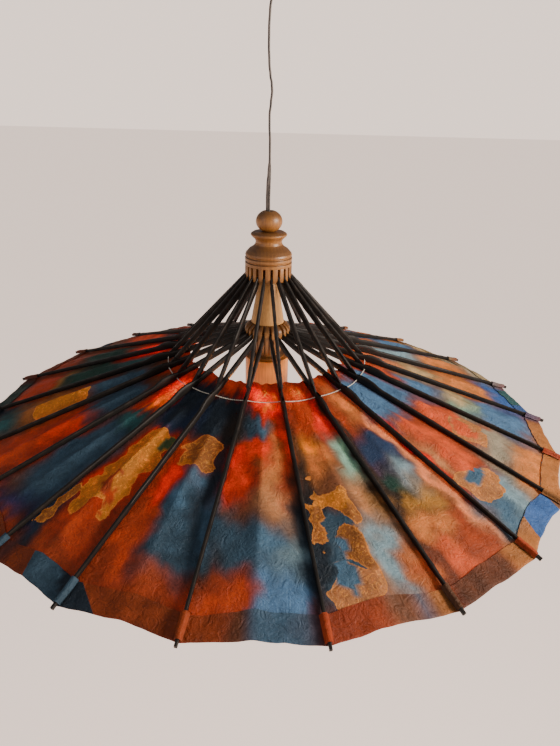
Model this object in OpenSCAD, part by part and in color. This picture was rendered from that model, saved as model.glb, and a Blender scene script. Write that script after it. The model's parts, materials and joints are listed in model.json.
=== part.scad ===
// Hanging lamp made from an oil-paper umbrella, hung handle end up and opened past flat.
// The origin is the centre of the ceiling rose's top face. +Z is up, and the lamp hangs below.

/* [Umbrella frame] */
// Number of ribs, each with its own stretcher
rib_count = 22; // [16:1:22]
// Radius from the axis to the rib tips
tip_r = 400; // [333:1:480]
// Height of the rib pivots above the rib tips
crown_rise = 128.4; // [107:0.02:154.1]
// Radius of the circle of rib pivots
rib_pivot_r = 24; // [23.5:0.1:25.5]
// Radius of the circle where the stretchers meet the ribs
joint_r = 134.5; // [114:0.5:160]
// Radius of the circle of stretcher pivots
stretcher_pivot_r = 25; // [24:0.1:26]
// Height of the stretcher pivots above the rib pivots
pivot_gap = 77.6; // [66:0.2:93]
// Slow uneven turn of the ribs around the axis, in degrees, left by hand assembly
wander = 1.1; // [0:0.1:1.5]
// Quicker uneven turn of the ribs around the axis, in degrees
quick_wander = 1.7; // [0:0.1:2]

/* [Ribs and stretchers] */
// Width of a rib at the stretcher joint
rib_w = 4.2; // [3.8:0.02:5.1]
// Width of a rib at its tip
rib_tip_w = 2.8; // [2:0.1:4]
// Height of a rib's back above its centre line
rib_back = 4.2; // [3.4:0.1:5.1]
// Height of the hump outside the stretcher joint
rib_hump = 7.4; // [6:0.1:8.9]
// Height of a rib's back at its tip
rib_tip_back = 2.2; // [1.5:0.1:3]
// Depth of a rib's belly below its centre line
rib_belly = 3; // [2.4:0.1:3.6]
// Depth of a rib's belly at its tip
rib_tip_belly = 2; // [1.5:0.1:2.4]
// Width of a stretcher
stretcher_w = 3.8; // [3.2:0.1:4.6]
// Half depth of a stretcher at its top
stretcher_top = 4.4; // [3.7:0.1:5.2]
// Half depth of a stretcher at its foot
stretcher_foot = 2.6; // [2.1:0.1:3.1]
// Thickness of the pivot ends that sit in the hub slots
root_w = 2.7; // [2:0.1:3]
// Thickness of a stretcher's tongue in the rib slot
tongue_w = 1.6; // [1.2:0.1:1.8]

/* [Threads] */
// Radius of the dark binding thread of the hubs
hub_thread_r = 0.45; // [0.3:0.05:0.5]
// Radius of the white thread through ribs and stretchers
joint_thread_r = 0.6; // [0.4:0.05:0.8]

/* [Hubs] */
// Radius of both slotted hubs
hub_r = 30; // [29:0.5:34]
// Width of a hub slot
slot_w = 3.4; // [3.3:0.02:4.1]
// Radius of the wood left inside the slots
core_r = 19; // [17:0.5:19.5]
// Height of the upper hub's slots
upper_slot_h = 17; // [14:0.5:21]
// Height of the toothed ring of the lower hub
tooth_h = 12.2; // [10:0.2:14]
// Radius of the cord bore through the hubs, the sleeve and the ball
bore_r = 4.8; // [4.7:0.1:6]
// Width of the finial ball
ball_w = 33.2; // [26:0.2:38]
// Height of the finial ball
ball_h = 25; // [20:0.2:32]
// Radius of the turned collar under the ball
collar_r = 23; // [19:0.5:27]
// Radius of the neck under the collar
neck_r = 16.6; // [13:0.2:18]
// Height of the collar, neck and bell above the upper slots
turned_h = 41.8; // [34:0.2:50]

/* [Sleeve and lamp] */
// Radius of the sleeve at its top
sleeve_top_r = 12; // [10:0.5:16]
// Radius of the sleeve at its foot
sleeve_foot_r = 22; // [18:0.5:23]
// Radius of the slotted neck under the lower hub
waist_r = 18.4; // [15:0.2:18.8]
// Height of the neck under the lower hub, from its teeth to the cup
waist_h = 30; // [24:0.5:36]
// Radius of the lamp cup
cup_r = 29.4; // [27:0.2:34]
// Height of the lamp cup
cup_h = 44; // [43:0.5:60]
// Wall of the lamp cup
cup_wall = 4.4; // [3:0.2:5]
// Thickness of the lamp cup's top
cup_top = 6; // [4:0.5:8]
// Radius of the lampholder
holder_r = 20; // [18:0.5:22]
// Radius of the bulb's round glass
bulb_r = 22.5; // [20:0.5:25]
// Length of the bulb below the lampholder
bulb_drop = 51; // [48:0.5:60]
// Radius of the bulb's screw cap
cap_r = 13.2; // [13:0.05:13.3]
// Length of the screw cap inside the lampholder
cap_h = 22; // [18:0.5:24]

/* [Paper] */
// Radius of the opening in the middle of the paper
paper_in_r = 102; // [84:1:124]
// How far the rib tips stand out of the hem
tip_out = 6; // [3:0.5:12]
// Thickness of the paper
paper_t = 0.8; // [0.4:0.1:1.2]
// Width of the folded hem
hem_w = 22; // [14:0.5:30]
// Gap between the paper and the ribs
paper_gap = 0.4; // [0.3:0.1:0.8]

/* [Cord and ceiling rose] */
// Width of the flat twin cord
cord_w = 5.4; // [4.6:0.1:5.6]
// Thickness of the flat twin cord
cord_t = 2.7; // [2.2:0.1:3]
// Length of free cord between the finial ball and the rose
cord_free = 232.4; // [232:0.2:400]
// Radius of the ceiling rose
rose_r = 40; // [37:0.5:55]
// Height of the ceiling rose
rose_h = 25; // [22:0.5:40]
// Wall of the ceiling rose
rose_wall = 2; // [1.6:0.1:3]
// Thickness of the rose's base plate
base_t = 4; // [3:0.2:5]
// Distance between the two ceiling screw holes
screw_gap = 50; // [44:0.5:52]
// Radius of a ceiling screw hole
screw_r = 2.25; // [2:0.05:2.6]
// Radius of the boss that grips the cord inside the rose
grip_r = 9; // [7:0.5:12]

/* [Hidden] */
$fn = 64;
clear = 0.3;
slot_run = 1.5;
pitch = 360 / rib_count;
// the rib's line from its pivot to its tip
slope = atan(crown_rise / (tip_r - rib_pivot_r));
rib_len = (tip_r - rib_pivot_r) / cos(slope);
joint_x = (joint_r - rib_pivot_r) / cos(slope);
joint_z = -(joint_r - rib_pivot_r) * tan(slope);
// the stretcher's line from its pivot to the joint
stretcher_fall = pivot_gap - joint_z;
stretcher_run = joint_r - stretcher_pivot_r;
stretcher_slope = atan(stretcher_fall / stretcher_run);
stretcher_len = norm([stretcher_fall, stretcher_run]);
// heights above the rib pivots
tooth_top = tooth_h * 2 / 3;
tooth_foot = tooth_top - tooth_h;
dome_h = 5.6;
sleeve_foot = tooth_top + dome_h;
hub_foot = pivot_gap - 4.4;
slot_top = hub_foot + upper_slot_h;
collar_top = slot_top + turned_h;
ball_mid = collar_top + ball_h / 2;
ball_top = collar_top + ball_h;
cup_roof = tooth_foot - waist_h;
cup_foot = cup_roof - cup_h;
holder_top = cup_roof - cup_top;
// the pivot plane hangs this far below the ceiling
drop = rose_h + cord_free + ball_top;
rim_r = tip_r - tip_out;
thread_hole_r = hub_thread_r + 0.35;
joint_hole_r = joint_thread_r + 0.5;
fork_w = tongue_w + 0.8;
tongue_len = 16;
head_r = 3;
groove_h = 1.6;
cap_hole_r = cap_r + clear;
// the cord's sideways place and turn at heights above the rib pivots: [x, height, turn]
CORD_INSIDE = [
    [0, -44, 0], [0, -30, 0], [-0.8, -5, 0], [-1.7, 30, 0], [-1.7, 70, 0],
    [-1.7, 110, 0], [-1.7, 140, 0], [-1.7, ball_top, 0]
];
CORD_FREE = [
    [-1.7, 0, 0], [-1.8, 15, 0], [-1.5, 30, 10], [-0.8, 45, 50], [-0.5, 60, 90],
    [-0.6, 80, 90], [-1.4, 96, 90], [-1.5, 108, 90], [-0.2, 120, 90], [1, 132, 90],
    [0.4, 140, 90], [-1.2, 148, 90], [-2.6, 160, 90], [-3.4, 178, 90], [-3.4, 196, 90],
    [-2.6, 212, 90], [-1, 224, 90], [0, cord_free + rose_h - base_t - 10, 90]
];

function two(k) = str(k < 10 ? "0" : "", k);
function rib_name(k) = str("rib_", two(k));
function stretcher_name(k) = str("stretcher_", two(k));
// direction of rib k, in degrees from -Y towards +X, with its hand-made wander
function even(k) = (k - 0.5) * pitch;
function azimuth(k) = even(k) + wander * sin(2 * even(k) - 25) + quick_wander * sin(3 * even(k) - 23);
function smooth(p, q, t) = p + (q - p) * t * t * (3 - 2 * t);

// places children, whose zero height is the plane of the rib pivots
module hung() translate([0, 0, -drop]) children();

module at_rib(k) rotate([0, 0, azimuth(k) - 90]) children();

// a bar along +X: its side outline and its plan outline cross in one solid
module bar(side, plan) {
    intersection() {
        rotate([90, 0, 0]) linear_extrude(12, center = true) polygon(side);
        linear_extrude(30, center = true) polygon(plan);
    }
}

module cross_hole(r, x) {
    translate([x, 0, 0]) rotate([90, 0, 0]) cylinder(h = 12, r = r, center = true);
}

// a round end about a pivot, across the bar
module round_end(r, w, x) {
    translate([x, 0, 0]) rotate([90, 0, 0]) cylinder(h = w, r = r, center = true);
}

module ring(r, thread_r, z) {
    translate([0, 0, z]) rotate_extrude() translate([r, 0]) circle(r = thread_r, $fn = 16);
}

module slots(foot, top, out_r) {
    for (k = [1:rib_count]) at_rib(k)
        translate([core_r, -slot_w / 2, foot]) cube([out_r - core_r + 1, slot_w, top - foot]);
}

module thread_groove(z, pivot_r) {
    translate([0, 0, z - groove_h / 2]) difference() {
        cylinder(h = groove_h, r = hub_r + 2);
        translate([0, 0, -1]) cylinder(h = groove_h + 2, r = pivot_r - hub_thread_r - clear);
    }
}

module rib_blank() {
    hump_x = joint_x + 12;
    side = [
        [0, -head_r], [9, -rib_belly], [joint_x + 24, -rib_belly], [rib_len, -rib_tip_belly],
        [rib_len, rib_tip_back - 0.8], [rib_len - 1.5, rib_tip_back], [rib_len - 150, rib_back - 0.6],
        [joint_x + 44, rib_back + 0.6], [hump_x + 6, rib_hump - 0.4], [hump_x, rib_hump],
        [hump_x - 6, rib_hump - 0.3], [joint_x, rib_back + 1], [joint_x - 16, rib_back],
        [9, rib_back], [0, head_r]
    ];
    plan = [
        [0, -root_w / 2], [8, -root_w / 2], [11, -rib_w / 2], [joint_x + 60, -rib_w / 2],
        [rib_len, -rib_tip_w / 2], [rib_len, rib_tip_w / 2], [joint_x + 60, rib_w / 2],
        [11, rib_w / 2], [8, root_w / 2], [0, root_w / 2]
    ];
    union() {
        bar(side, plan);
        round_end(head_r, root_w, 0);
    }
}

module rib(k) {
    color("#1d1814") hung() at_rib(k) translate([rib_pivot_r, 0, 0]) rotate([0, slope, 0])
        difference() {
            rib_blank();
            cross_hole(thread_hole_r, 0);
            cross_hole(joint_hole_r, joint_x);
            translate([joint_x - tongue_len - slot_run, -fork_w / 2, -8])
                cube([tongue_len + slot_run + 6, fork_w, 20]);
        }
}

module stretcher_blank() {
    tongue_x = stretcher_len - tongue_len;
    side = [
        [0, -stretcher_top], [tongue_x, -stretcher_foot], [stretcher_len, -stretcher_foot],
        [stretcher_len, stretcher_foot], [tongue_x, stretcher_foot], [0, stretcher_top]
    ];
    plan = [
        [0, -root_w / 2], [6.5, -root_w / 2], [9.5, -stretcher_w / 2], [tongue_x - 4, -stretcher_w / 2],
        [tongue_x, -tongue_w / 2], [stretcher_len, -tongue_w / 2], [stretcher_len, tongue_w / 2],
        [tongue_x, tongue_w / 2], [tongue_x - 4, stretcher_w / 2], [9.5, stretcher_w / 2],
        [6.5, root_w / 2], [0, root_w / 2]
    ];
    union() {
        bar(side, plan);
        round_end(stretcher_top, root_w, 0);
        round_end(stretcher_foot, tongue_w, stretcher_len);
    }
}

module stretcher(k) {
    color("#3a322b") hung() at_rib(k) translate([stretcher_pivot_r, 0, pivot_gap])
        rotate([0, stretcher_slope, 0]) difference() {
            stretcher_blank();
            cross_hole(thread_hole_r, 0);
            cross_hole(joint_hole_r, stretcher_len);
        }
}

module upper_hub() {
    bell_top = slot_top + turned_h * 0.48;
    neck_z = slot_top + turned_h * 0.69;
    collar_z = collar_top - 4;
    groove = 1.4;
    low_groove = slot_top + 5;
    high_groove = slot_top + 11;
    color("#8a5a2c") hung() difference() {
        rotate_extrude() polygon([
            [bore_r, hub_foot], [hub_r, hub_foot], [hub_r, low_groove - 1], [hub_r - groove, low_groove],
            [hub_r - groove, low_groove + 1], [hub_r, low_groove + 2], [hub_r, high_groove - 1],
            [hub_r - groove, high_groove], [hub_r - groove, high_groove + 1], [hub_r - 0.4, high_groove + 2],
            [hub_r - 2, bell_top - 2], [hub_r - 6, bell_top], [neck_r + 3, bell_top + 3],
            [neck_r + 0.6, neck_z - 2], [neck_r, neck_z], [neck_r + 1, neck_z + 3],
            [collar_r - 2, collar_z - 2], [collar_r, collar_z], [collar_r - 0.6, collar_z + 2],
            [collar_r - 4, collar_top], [bore_r, collar_top]
        ]);
        slots(hub_foot - 1, slot_top, hub_r);
        thread_groove(pivot_gap, stretcher_pivot_r);
    }
}

module finial_ball() {
    half = ball_h / 2;
    reach = 64;
    color("#94602e") hung() translate([0, 0, ball_mid]) rotate_extrude() polygon(concat(
        [[bore_r, -half]],
        [for (a = [-reach:8:reach]) [ball_w / 2 * cos(a), half * sin(a) / sin(reach)]],
        [[bore_r, half]]
    ));
}

module spacer_sleeve() {
    color("#c89a63") hung() difference() {
        translate([0, 0, sleeve_foot])
            cylinder(h = hub_foot - sleeve_foot, r1 = sleeve_foot_r, r2 = sleeve_top_r);
        translate([0, 0, sleeve_foot - 1]) cylinder(h = hub_foot - sleeve_foot + 2, r = bore_r);
    }
}

module lower_hub() {
    band = 4;
    color("#8a5a2c") hung() difference() {
        rotate_extrude() polygon([
            [bore_r, cup_roof], [cup_r - 6, cup_roof], [cup_r - 6, cup_roof + 1.5],
            [waist_r - 2.4, cup_roof + 2.6], [waist_r - 2.4, cup_roof + band],
            [waist_r, cup_roof + band + 1.4], [waist_r, tooth_foot - 6], [waist_r - 1, tooth_foot - 5],
            [waist_r - 1, tooth_foot], [hub_r, tooth_foot], [hub_r, tooth_top - 2],
            [hub_r - 1.2, tooth_top], [hub_r - 4, tooth_top + 2.6], [sleeve_foot_r + 1, sleeve_foot],
            [bore_r, sleeve_foot]
        ]);
        slots(tooth_foot - 1, sleeve_foot + 1, hub_r);
        for (k = [1:rib_count]) at_rib(k)
            translate([waist_r - 2, -0.8, cup_roof + band + 2.5])
                cube([4, 1.6, tooth_foot - cup_roof - band - 10]);
        thread_groove(0, rib_pivot_r);
    }
}

module lamp_cup() {
    color("#a8743c") hung() difference() {
        translate([0, 0, cup_foot]) cylinder(h = cup_h, r = cup_r);
        translate([0, 0, cup_foot - 1]) cylinder(h = cup_h - cup_top + 1, r = cup_r - cup_wall);
        translate([0, 0, cup_roof - cup_top - 1]) cylinder(h = cup_top + 2, r = bore_r);
    }
}

module lampholder() {
    color("#20201f") hung() difference() {
        rotate_extrude() polygon([
            [0, holder_top], [holder_r * 0.6, holder_top], [holder_r * 0.9, holder_top - 5],
            [holder_r, holder_top - 7], [holder_r, cup_foot], [0, cup_foot]
        ]);
        translate([0, 0, cup_foot - 1]) cylinder(h = cap_h + 2, r = cap_hole_r);
        translate([0, 0, -44]) cylinder(h = holder_top + 44 + 1, r = cord_w / 2 + clear);
    }
}

module bulb_cap() {
    ridge = 0.7;
    color("#b8b4a8") hung() rotate_extrude() polygon(concat(
        [[0, cup_foot + cap_h], [4, cup_foot + cap_h], [5, cup_foot + cap_h - 1.6], [cap_r - 1.5, cup_foot + cap_h - 4]],
        [for (n = [5:-1:1]) each [
            [cap_r - ridge, cup_foot + n * 3.4], [cap_r, cup_foot + n * 3.4 - 0.9],
            [cap_r, cup_foot + n * 3.4 - 1.7], [cap_r - ridge, cup_foot + n * 3.4 - 2.6]
        ]],
        [[cap_r - ridge, cup_foot - 2], [0, cup_foot - 2]]
    ));
}

module bulb_glass() {
    mid = cup_foot - bulb_drop + bulb_r;
    neck = cap_r - 0.8;
    reach = asin(neck / bulb_r);
    color("#f2e6c8") hung() rotate_extrude() polygon(concat(
        [[0, cup_foot - 2], [neck, cup_foot - 2]],
        [for (a = [reach + 22:6:178]) [bulb_r * sin(a), mid + bulb_r * cos(a)]],
        [[0, mid - bulb_r]]
    ));
}

module rose_base() {
    color("#e6e2da") difference() {
        union() {
            translate([0, 0, -base_t]) cylinder(h = base_t, r = rose_r - rose_wall - clear);
            translate([0, 0, -base_t - 10]) cylinder(h = 11, r = grip_r);
        }
        for (x = [-1, 1]) translate([x * screw_gap / 2, 0, -base_t - 1])
            cylinder(h = base_t + 2, r = screw_r);
    }
}

module rose_cover() {
    gland_r = 7;
    color("#e6e2da") difference() {
        rotate_extrude() polygon([
            [0, -rose_h], [gland_r, -rose_h], [gland_r + 1, -rose_h + 3], [rose_r - 8, -rose_h + 5],
            [rose_r - 2, -rose_h + 8], [rose_r, -rose_h + 12], [rose_r, 0], [rose_r - rose_wall, 0],
            [rose_r - rose_wall, -rose_h + 12.6], [rose_r - 3.4, -rose_h + 9.6],
            [rose_r - 8.4, -rose_h + 7.2], [0, -rose_h + 5.4]
        ]);
        translate([0, 0, -rose_h - 1]) cylinder(h = 8, r = cord_w / 2 + 1.2);
    }
}

// a flat twin cord swept along points [x, height, turn], with a ring at each step
module flat_cord(points, steps) {
    sides = 8;
    last = len(points) - 1;
    rows = [for (i = [0:last - 1]) for (s = [0:steps - 1]) [i, s / steps]];
    spine = concat(
        [for (row = rows) let (p = points[row[0]], q = points[row[0] + 1])
            [smooth(p[0], q[0], row[1]), p[1] + (q[1] - p[1]) * row[1], smooth(p[2], q[2], row[1])]],
        [points[last]]
    );
    n = len(spine);
    shell = [for (p = spine) for (j = [0:sides - 1])
        let (a = 360 * j / sides, u = cord_w / 2 * cos(a), v = cord_t / 2 * sin(a))
        [p[0] + u * cos(p[2]) - v * sin(p[2]), u * sin(p[2]) + v * cos(p[2]), p[1]]];
    walls = [for (i = [0:n - 2]) for (j = [0:sides - 1])
        let (m = (j + 1) % sides)
        each [
            [i * sides + j, (i + 1) * sides + m, i * sides + m],
            [i * sides + j, (i + 1) * sides + j, (i + 1) * sides + m]
        ]];
    ends = [[for (j = [0:sides - 1]) j], [for (j = [sides - 1:-1:0]) (n - 1) * sides + j]];
    polyhedron(points = shell, faces = concat(walls, ends));
}

module cord() {
    color("#2a2623") hung() translate([0, 0, ball_top]) flat_cord(CORD_FREE, 2);
}

module cord_inside() {
    color("#2a2623") hung() flat_cord(CORD_INSIDE, 2);
}

// the paper lies under the ribs, from the middle opening to the hem at the rim
module canopy_paper() {
    inner_lift = (rib_belly + paper_gap) / cos(slope);
    outer_lift = (rib_tip_belly + paper_gap + 0.2) / cos(slope);
    in_z = -(paper_in_r - rib_pivot_r) * tan(slope) - inner_lift;
    out_z = -(rim_r - rib_pivot_r) * tan(slope) - outer_lift;
    hem_z = out_z + hem_w * tan(slope);
    color("#9a4a26") hung() rotate_extrude($fn = 128) polygon([
        [paper_in_r, in_z], [rim_r, out_z], [rim_r, out_z - 2 * paper_t],
        [rim_r - hem_w, hem_z - 2 * paper_t], [rim_r - hem_w, hem_z - paper_t - 0.1],
        [paper_in_r, in_z - paper_t]
    ]);
}

rose_base();
rose_cover();
cord();
cord_inside();
finial_ball();
upper_hub();
color("#2a2320") hung() ring(stretcher_pivot_r, hub_thread_r, pivot_gap);  // upper_hub_thread
spacer_sleeve();
lower_hub();
color("#2a2320") hung() ring(rib_pivot_r, hub_thread_r, 0);  // lower_hub_thread
lamp_cup();
lampholder();
bulb_glass();
bulb_cap();
canopy_paper();
color("#d8d2c4") hung() ring(joint_r, joint_thread_r, joint_z);  // joint_thread
for (k = [1:rib_count]) rib(k);
for (k = [1:rib_count]) stretcher(k);
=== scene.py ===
import json
import math

import bmesh
import bpy
import numpy as np
from mathutils import Matrix, Vector


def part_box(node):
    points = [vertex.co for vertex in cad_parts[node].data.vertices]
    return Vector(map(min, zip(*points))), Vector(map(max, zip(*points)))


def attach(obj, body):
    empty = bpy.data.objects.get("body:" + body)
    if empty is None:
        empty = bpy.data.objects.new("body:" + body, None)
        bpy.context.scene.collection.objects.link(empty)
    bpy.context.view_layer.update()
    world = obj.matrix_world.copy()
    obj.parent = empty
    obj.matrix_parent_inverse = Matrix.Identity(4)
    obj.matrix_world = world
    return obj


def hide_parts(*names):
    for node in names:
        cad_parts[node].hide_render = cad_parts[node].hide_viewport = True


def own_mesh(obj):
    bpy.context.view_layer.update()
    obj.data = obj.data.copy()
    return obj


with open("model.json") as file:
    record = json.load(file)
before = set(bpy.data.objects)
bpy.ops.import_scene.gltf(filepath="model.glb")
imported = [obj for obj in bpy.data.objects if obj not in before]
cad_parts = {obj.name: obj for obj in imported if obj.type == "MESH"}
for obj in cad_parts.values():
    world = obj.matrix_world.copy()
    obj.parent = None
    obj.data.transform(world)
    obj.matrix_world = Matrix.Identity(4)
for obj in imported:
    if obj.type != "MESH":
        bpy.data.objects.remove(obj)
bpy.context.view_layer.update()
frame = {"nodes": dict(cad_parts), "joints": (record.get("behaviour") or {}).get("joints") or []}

MM = 0.001
TAU = 2 * math.pi

# ---------------------------------------------------------------- sizes, from the frame
JOINTS = {joint["name"]: joint for joint in frame["joints"]}
RIB_COUNT = sum(name.startswith("rib_") for name in JOINTS)
RIB_PIVOT = Vector(JOINTS["rib_01_hinge"]["pos_m"])
STRETCHER_PIVOT = Vector(JOINTS["stretcher_01_hinge"]["pos_m"])
PIVOT_Z = RIB_PIVOT.z
PIVOT_R = RIB_PIVOT.xy.length
STRETCHER_R = STRETCHER_PIVOT.xy.length
THREAD_R = 0.6 * MM
THREAD_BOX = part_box("joint_thread")
JOINT_R = (THREAD_BOX[1][0] - THREAD_BOX[0][0]) / 2 - THREAD_R
JOINT_Z = (THREAD_BOX[0][2] + THREAD_BOX[1][2]) / 2
SLOPE = math.atan2(PIVOT_Z - JOINT_Z, JOINT_R - PIVOT_R)
PAPER_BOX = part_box("canopy_paper")
RIM_R = (PAPER_BOX[1][0] - PAPER_BOX[0][0]) / 2
TIP_R = RIM_R + 6 * MM
RIB_LENGTH = (TIP_R - PIVOT_R) / math.cos(SLOPE)
JOINT_ALONG = (JOINT_R - PIVOT_R) / math.cos(SLOPE)
STRETCHER_FALL = STRETCHER_PIVOT.z - JOINT_Z
STRETCHER_SLOPE = math.atan2(STRETCHER_FALL, JOINT_R - STRETCHER_R)
STRETCHER_LENGTH = math.hypot(STRETCHER_FALL, JOINT_R - STRETCHER_R)
BALL_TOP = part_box("finial_ball")[1][2]
BULB_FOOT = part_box("bulb_glass")[0][2]
HEM_WIDTH = 22 * MM
PAPER_THICK = 0.5 * MM
GLOBE_R = 22.5 * MM
# the radius of the paper's torn inner edge, and the gap between two ribs at the rim
TORN_R = 102 * MM
RIB_GAP = 112 * MM
# how far outside any crisp paint a plain point counts as, in millimetres
OUTSIDE = -9.0


def hinge_azimuth(k):
    """The way rib k points, as an angle from the front (-Y) towards +X."""
    axis = JOINTS[f"rib_{k:02d}_hinge"]["axis"]
    return math.atan2(-axis[1], -axis[0]) % TAU


RIB_AZIMUTHS = np.array([hinge_azimuth(k) for k in range(1, RIB_COUNT + 1)])


def rib_azimuth(k):
    """The angle of rib k, for any whole number or array of them."""
    k = np.asarray(k)
    return RIB_AZIMUTHS[(k - 1) % RIB_COUNT] + TAU * np.floor_divide(k - 1, RIB_COUNT)


# ---------------------------------------------------------------- camera and cord
def camera():
    """Stands in front of the lamp and a little above it, tipped down."""
    pitch, yaw, roll = math.radians(24.73), math.radians(1.47), math.radians(1.55)
    right = Vector((math.cos(yaw), -math.sin(yaw), 0))
    forward = Vector((math.sin(yaw) * math.cos(pitch), math.cos(yaw) * math.cos(pitch), -math.sin(pitch)))
    up = right.cross(forward)
    across = math.cos(roll) * right + math.sin(roll) * up
    above = math.cos(roll) * up - math.sin(roll) * right
    data = bpy.data.cameras.new("camera")
    data.lens = 27.57
    data.sensor_width = 36
    eye = linked("camera", data)
    turn = Matrix((across, above, -forward)).transposed().to_4x4()
    eye.matrix_world = Matrix.Translation((0, -0.7231, -0.1441)) @ turn
    bpy.context.scene.camera = eye


def colour(code):
    """An sRGB hex colour as linear red, green, blue and alpha."""
    parts = [int(code[i:i + 2], 16) / 255 for i in (1, 3, 5)]
    return [p / 12.92 if p <= 0.04045 else ((p + 0.055) / 1.055) ** 2.4 for p in parts] + [1.0]


def add(tree, kind, links=None, stops=(), **settings):
    """Adds one node: settings are its properties, links fill its inputs by name or number, and stops
    are the positions and colours of a ramp, in rising order."""
    made = tree.nodes.new(kind)
    if stops:
        low, high = made.color_ramp.elements
        low.position, low.color = stops[0][0], colour(stops[0][1])
        high.position, high.color = stops[-1][0], colour(stops[-1][1])
        for position, code in stops[1:-1]:
            made.color_ramp.elements.new(position).color = colour(code)
    for name, value in settings.items():
        setattr(made, name, value)
    for socket, value in (links or {}).items():
        if isinstance(value, bpy.types.NodeSocket):
            tree.links.new(value, made.inputs[socket])
        else:
            made.inputs[socket].default_value = value
    return made


def new_material(name):
    """A new material, with its node tree and its shader."""
    material = bpy.data.materials.new(name)
    material.use_nodes = True
    return material, material.node_tree, material.node_tree.nodes["Principled BSDF"]


def linked(name, data):
    """A new object in the scene."""
    made = bpy.data.objects.new(name, data)
    bpy.context.scene.collection.objects.link(made)
    return made


def plain_mesh(body):
    """The mesh that an object's modifiers make. The object itself goes."""
    result = bpy.data.meshes.new_from_object(body.evaluated_get(bpy.context.evaluated_depsgraph_get()))
    body.modifiers.clear()
    bpy.data.objects.remove(body)
    return result


def new_mesh(name, points, faces, smooth=60):
    """A mesh whose edges stay sharp where they turn by more than smooth degrees."""
    mesh = bpy.data.meshes.new(name)
    mesh.from_pydata([tuple(p) for p in points], [], [tuple(int(i) for i in f) for f in faces])
    mesh.update()
    mesh.shade_smooth()
    mesh.set_sharp_from_angle(angle=math.radians(smooth))
    return mesh


def finished(name, mesh, body, slot, material, *nodes):
    """A finished piece, which rides its body in place of its CAD nodes."""
    mesh.materials.clear()
    mesh.materials.append(material)
    made = linked(name, mesh)
    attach(made, body)
    if nodes:
        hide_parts(*nodes)
    return made


def tube(path, outline, turns):
    """Points and faces of a closed outline swept up a near-upright path, with a turn at each point."""
    count = len(outline)
    points = []
    for centre, turn in zip(path, turns):
        c, s = math.cos(turn), math.sin(turn)
        points += [centre + Vector((u * c - v * s, u * s + v * c, 0)) for u, v in outline]
    faces = []
    for i in range(len(path) - 1):
        for j in range(count):
            a, b = i * count + j, i * count + (j + 1) % count
            faces.append((a, b, b + count, a + count))
    faces.append(tuple(reversed(range(count))))
    faces.append(tuple(range((len(path) - 1) * count, len(path) * count)))
    return points, faces


CORD_WIDTH = 5.4 * MM
CORD_THICK = 2.7 * MM
# the cord's sideways place, height above the ball and turn in degrees, as in the CAD, in millimetres
CORD_FREE = [
    (-1.7, 0, 0), (-1.8, 15, 0), (-1.5, 30, 10), (-0.8, 45, 50), (-0.5, 60, 90), (-0.6, 80, 90),
    (-1.4, 96, 90), (-1.5, 108, 90), (-0.2, 120, 90), (1, 132, 90), (0.4, 140, 90), (-1.2, 148, 90),
    (-2.6, 160, 90), (-3.4, 178, 90), (-3.4, 196, 90), (-2.6, 212, 90), (-1, 224, 90), (0, 243.4, 90),
]
# the same inside the ball, the hubs and the sleeve, with heights above the rib pivots
CORD_INSIDE = [
    (0, -44, 0), (0, -30, 0), (-0.8, -5, 0), (-1.7, 30, 0), (-1.7, 70, 0), (-1.7, 110, 0),
    (-1.7, 140, 0), (-1.7, 157, 0),
]


def cord_run(points, foot, steps):
    """The middle line and the turn of the cord through the points, smoothly stepped between them."""
    path, turns = [], []
    for p, q in zip(points, points[1:]):
        for step in range(steps):
            t = step / steps
            s = t * t * (3 - 2 * t)
            path.append(Vector(((p[0] + (q[0] - p[0]) * s) * MM, 0, foot + (p[1] + (q[1] - p[1]) * t) * MM)))
            turns.append(math.radians(p[2] + (q[2] - p[2]) * s))
    x, height, turn = points[-1]
    return path + [Vector((x * MM, 0, foot + height * MM))], turns + [math.radians(turn)]


def twin_flex_outline():
    """Two round cores side by side, with a groove between them."""
    core = CORD_THICK / 2
    offset = CORD_WIDTH / 2 - core
    right = [(offset + core * math.cos(a), core * math.sin(a)) for a in np.radians(range(-125, 126, 25))]
    left = [(-x, -y) for x, y in right]
    return right + left


def cord_sheath():
    """PVC twin flex, extruded: a dull dark grey-brown skin, a little dusty, with a soft sheen."""
    material, tree, shader = new_material("extruded_pvc_twin_flex")
    place = add(tree, "ShaderNodeTexCoord").outputs["Object"]
    dust = add(tree, "ShaderNodeTexNoise", {"Vector": place, "Scale": 1 / (6 * MM), "Detail": 4.0})
    tone = add(tree, "ShaderNodeValToRGB", {"Fac": dust.outputs["Fac"]},
               stops=((0.35, "#2b2623"), (0.7, "#4c443f")))
    tree.links.new(tone.outputs["Color"], shader.inputs["Base Color"])
    shader.inputs["Roughness"].default_value = 0.5
    bump = add(tree, "ShaderNodeBump", {"Height": dust.outputs["Fac"], "Distance": 0.1 * MM, "Strength": 0.4})
    tree.links.new(bump.outputs["Normal"], shader.inputs["Normal"])
    return material


def cords():
    """The free cord from the ball to the rose, and its hidden run down to the lampholder."""
    sheath = cord_sheath()
    outline = twin_flex_outline()
    path, turns = cord_run(CORD_FREE, BALL_TOP, 4)
    free = finished("hanging_cord", new_mesh("hanging_cord", *tube(path, outline, turns)), "lamp",
                    "cord_sheath", sheath, "cord")
    path, turns = cord_run(CORD_INSIDE, PIVOT_Z, 4)
    finished("cord_in_the_hubs", new_mesh("cord_in_the_hubs", *tube(path, outline, turns)), "lamp",
             "cord_sheath", sheath, "cord_inside")


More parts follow.
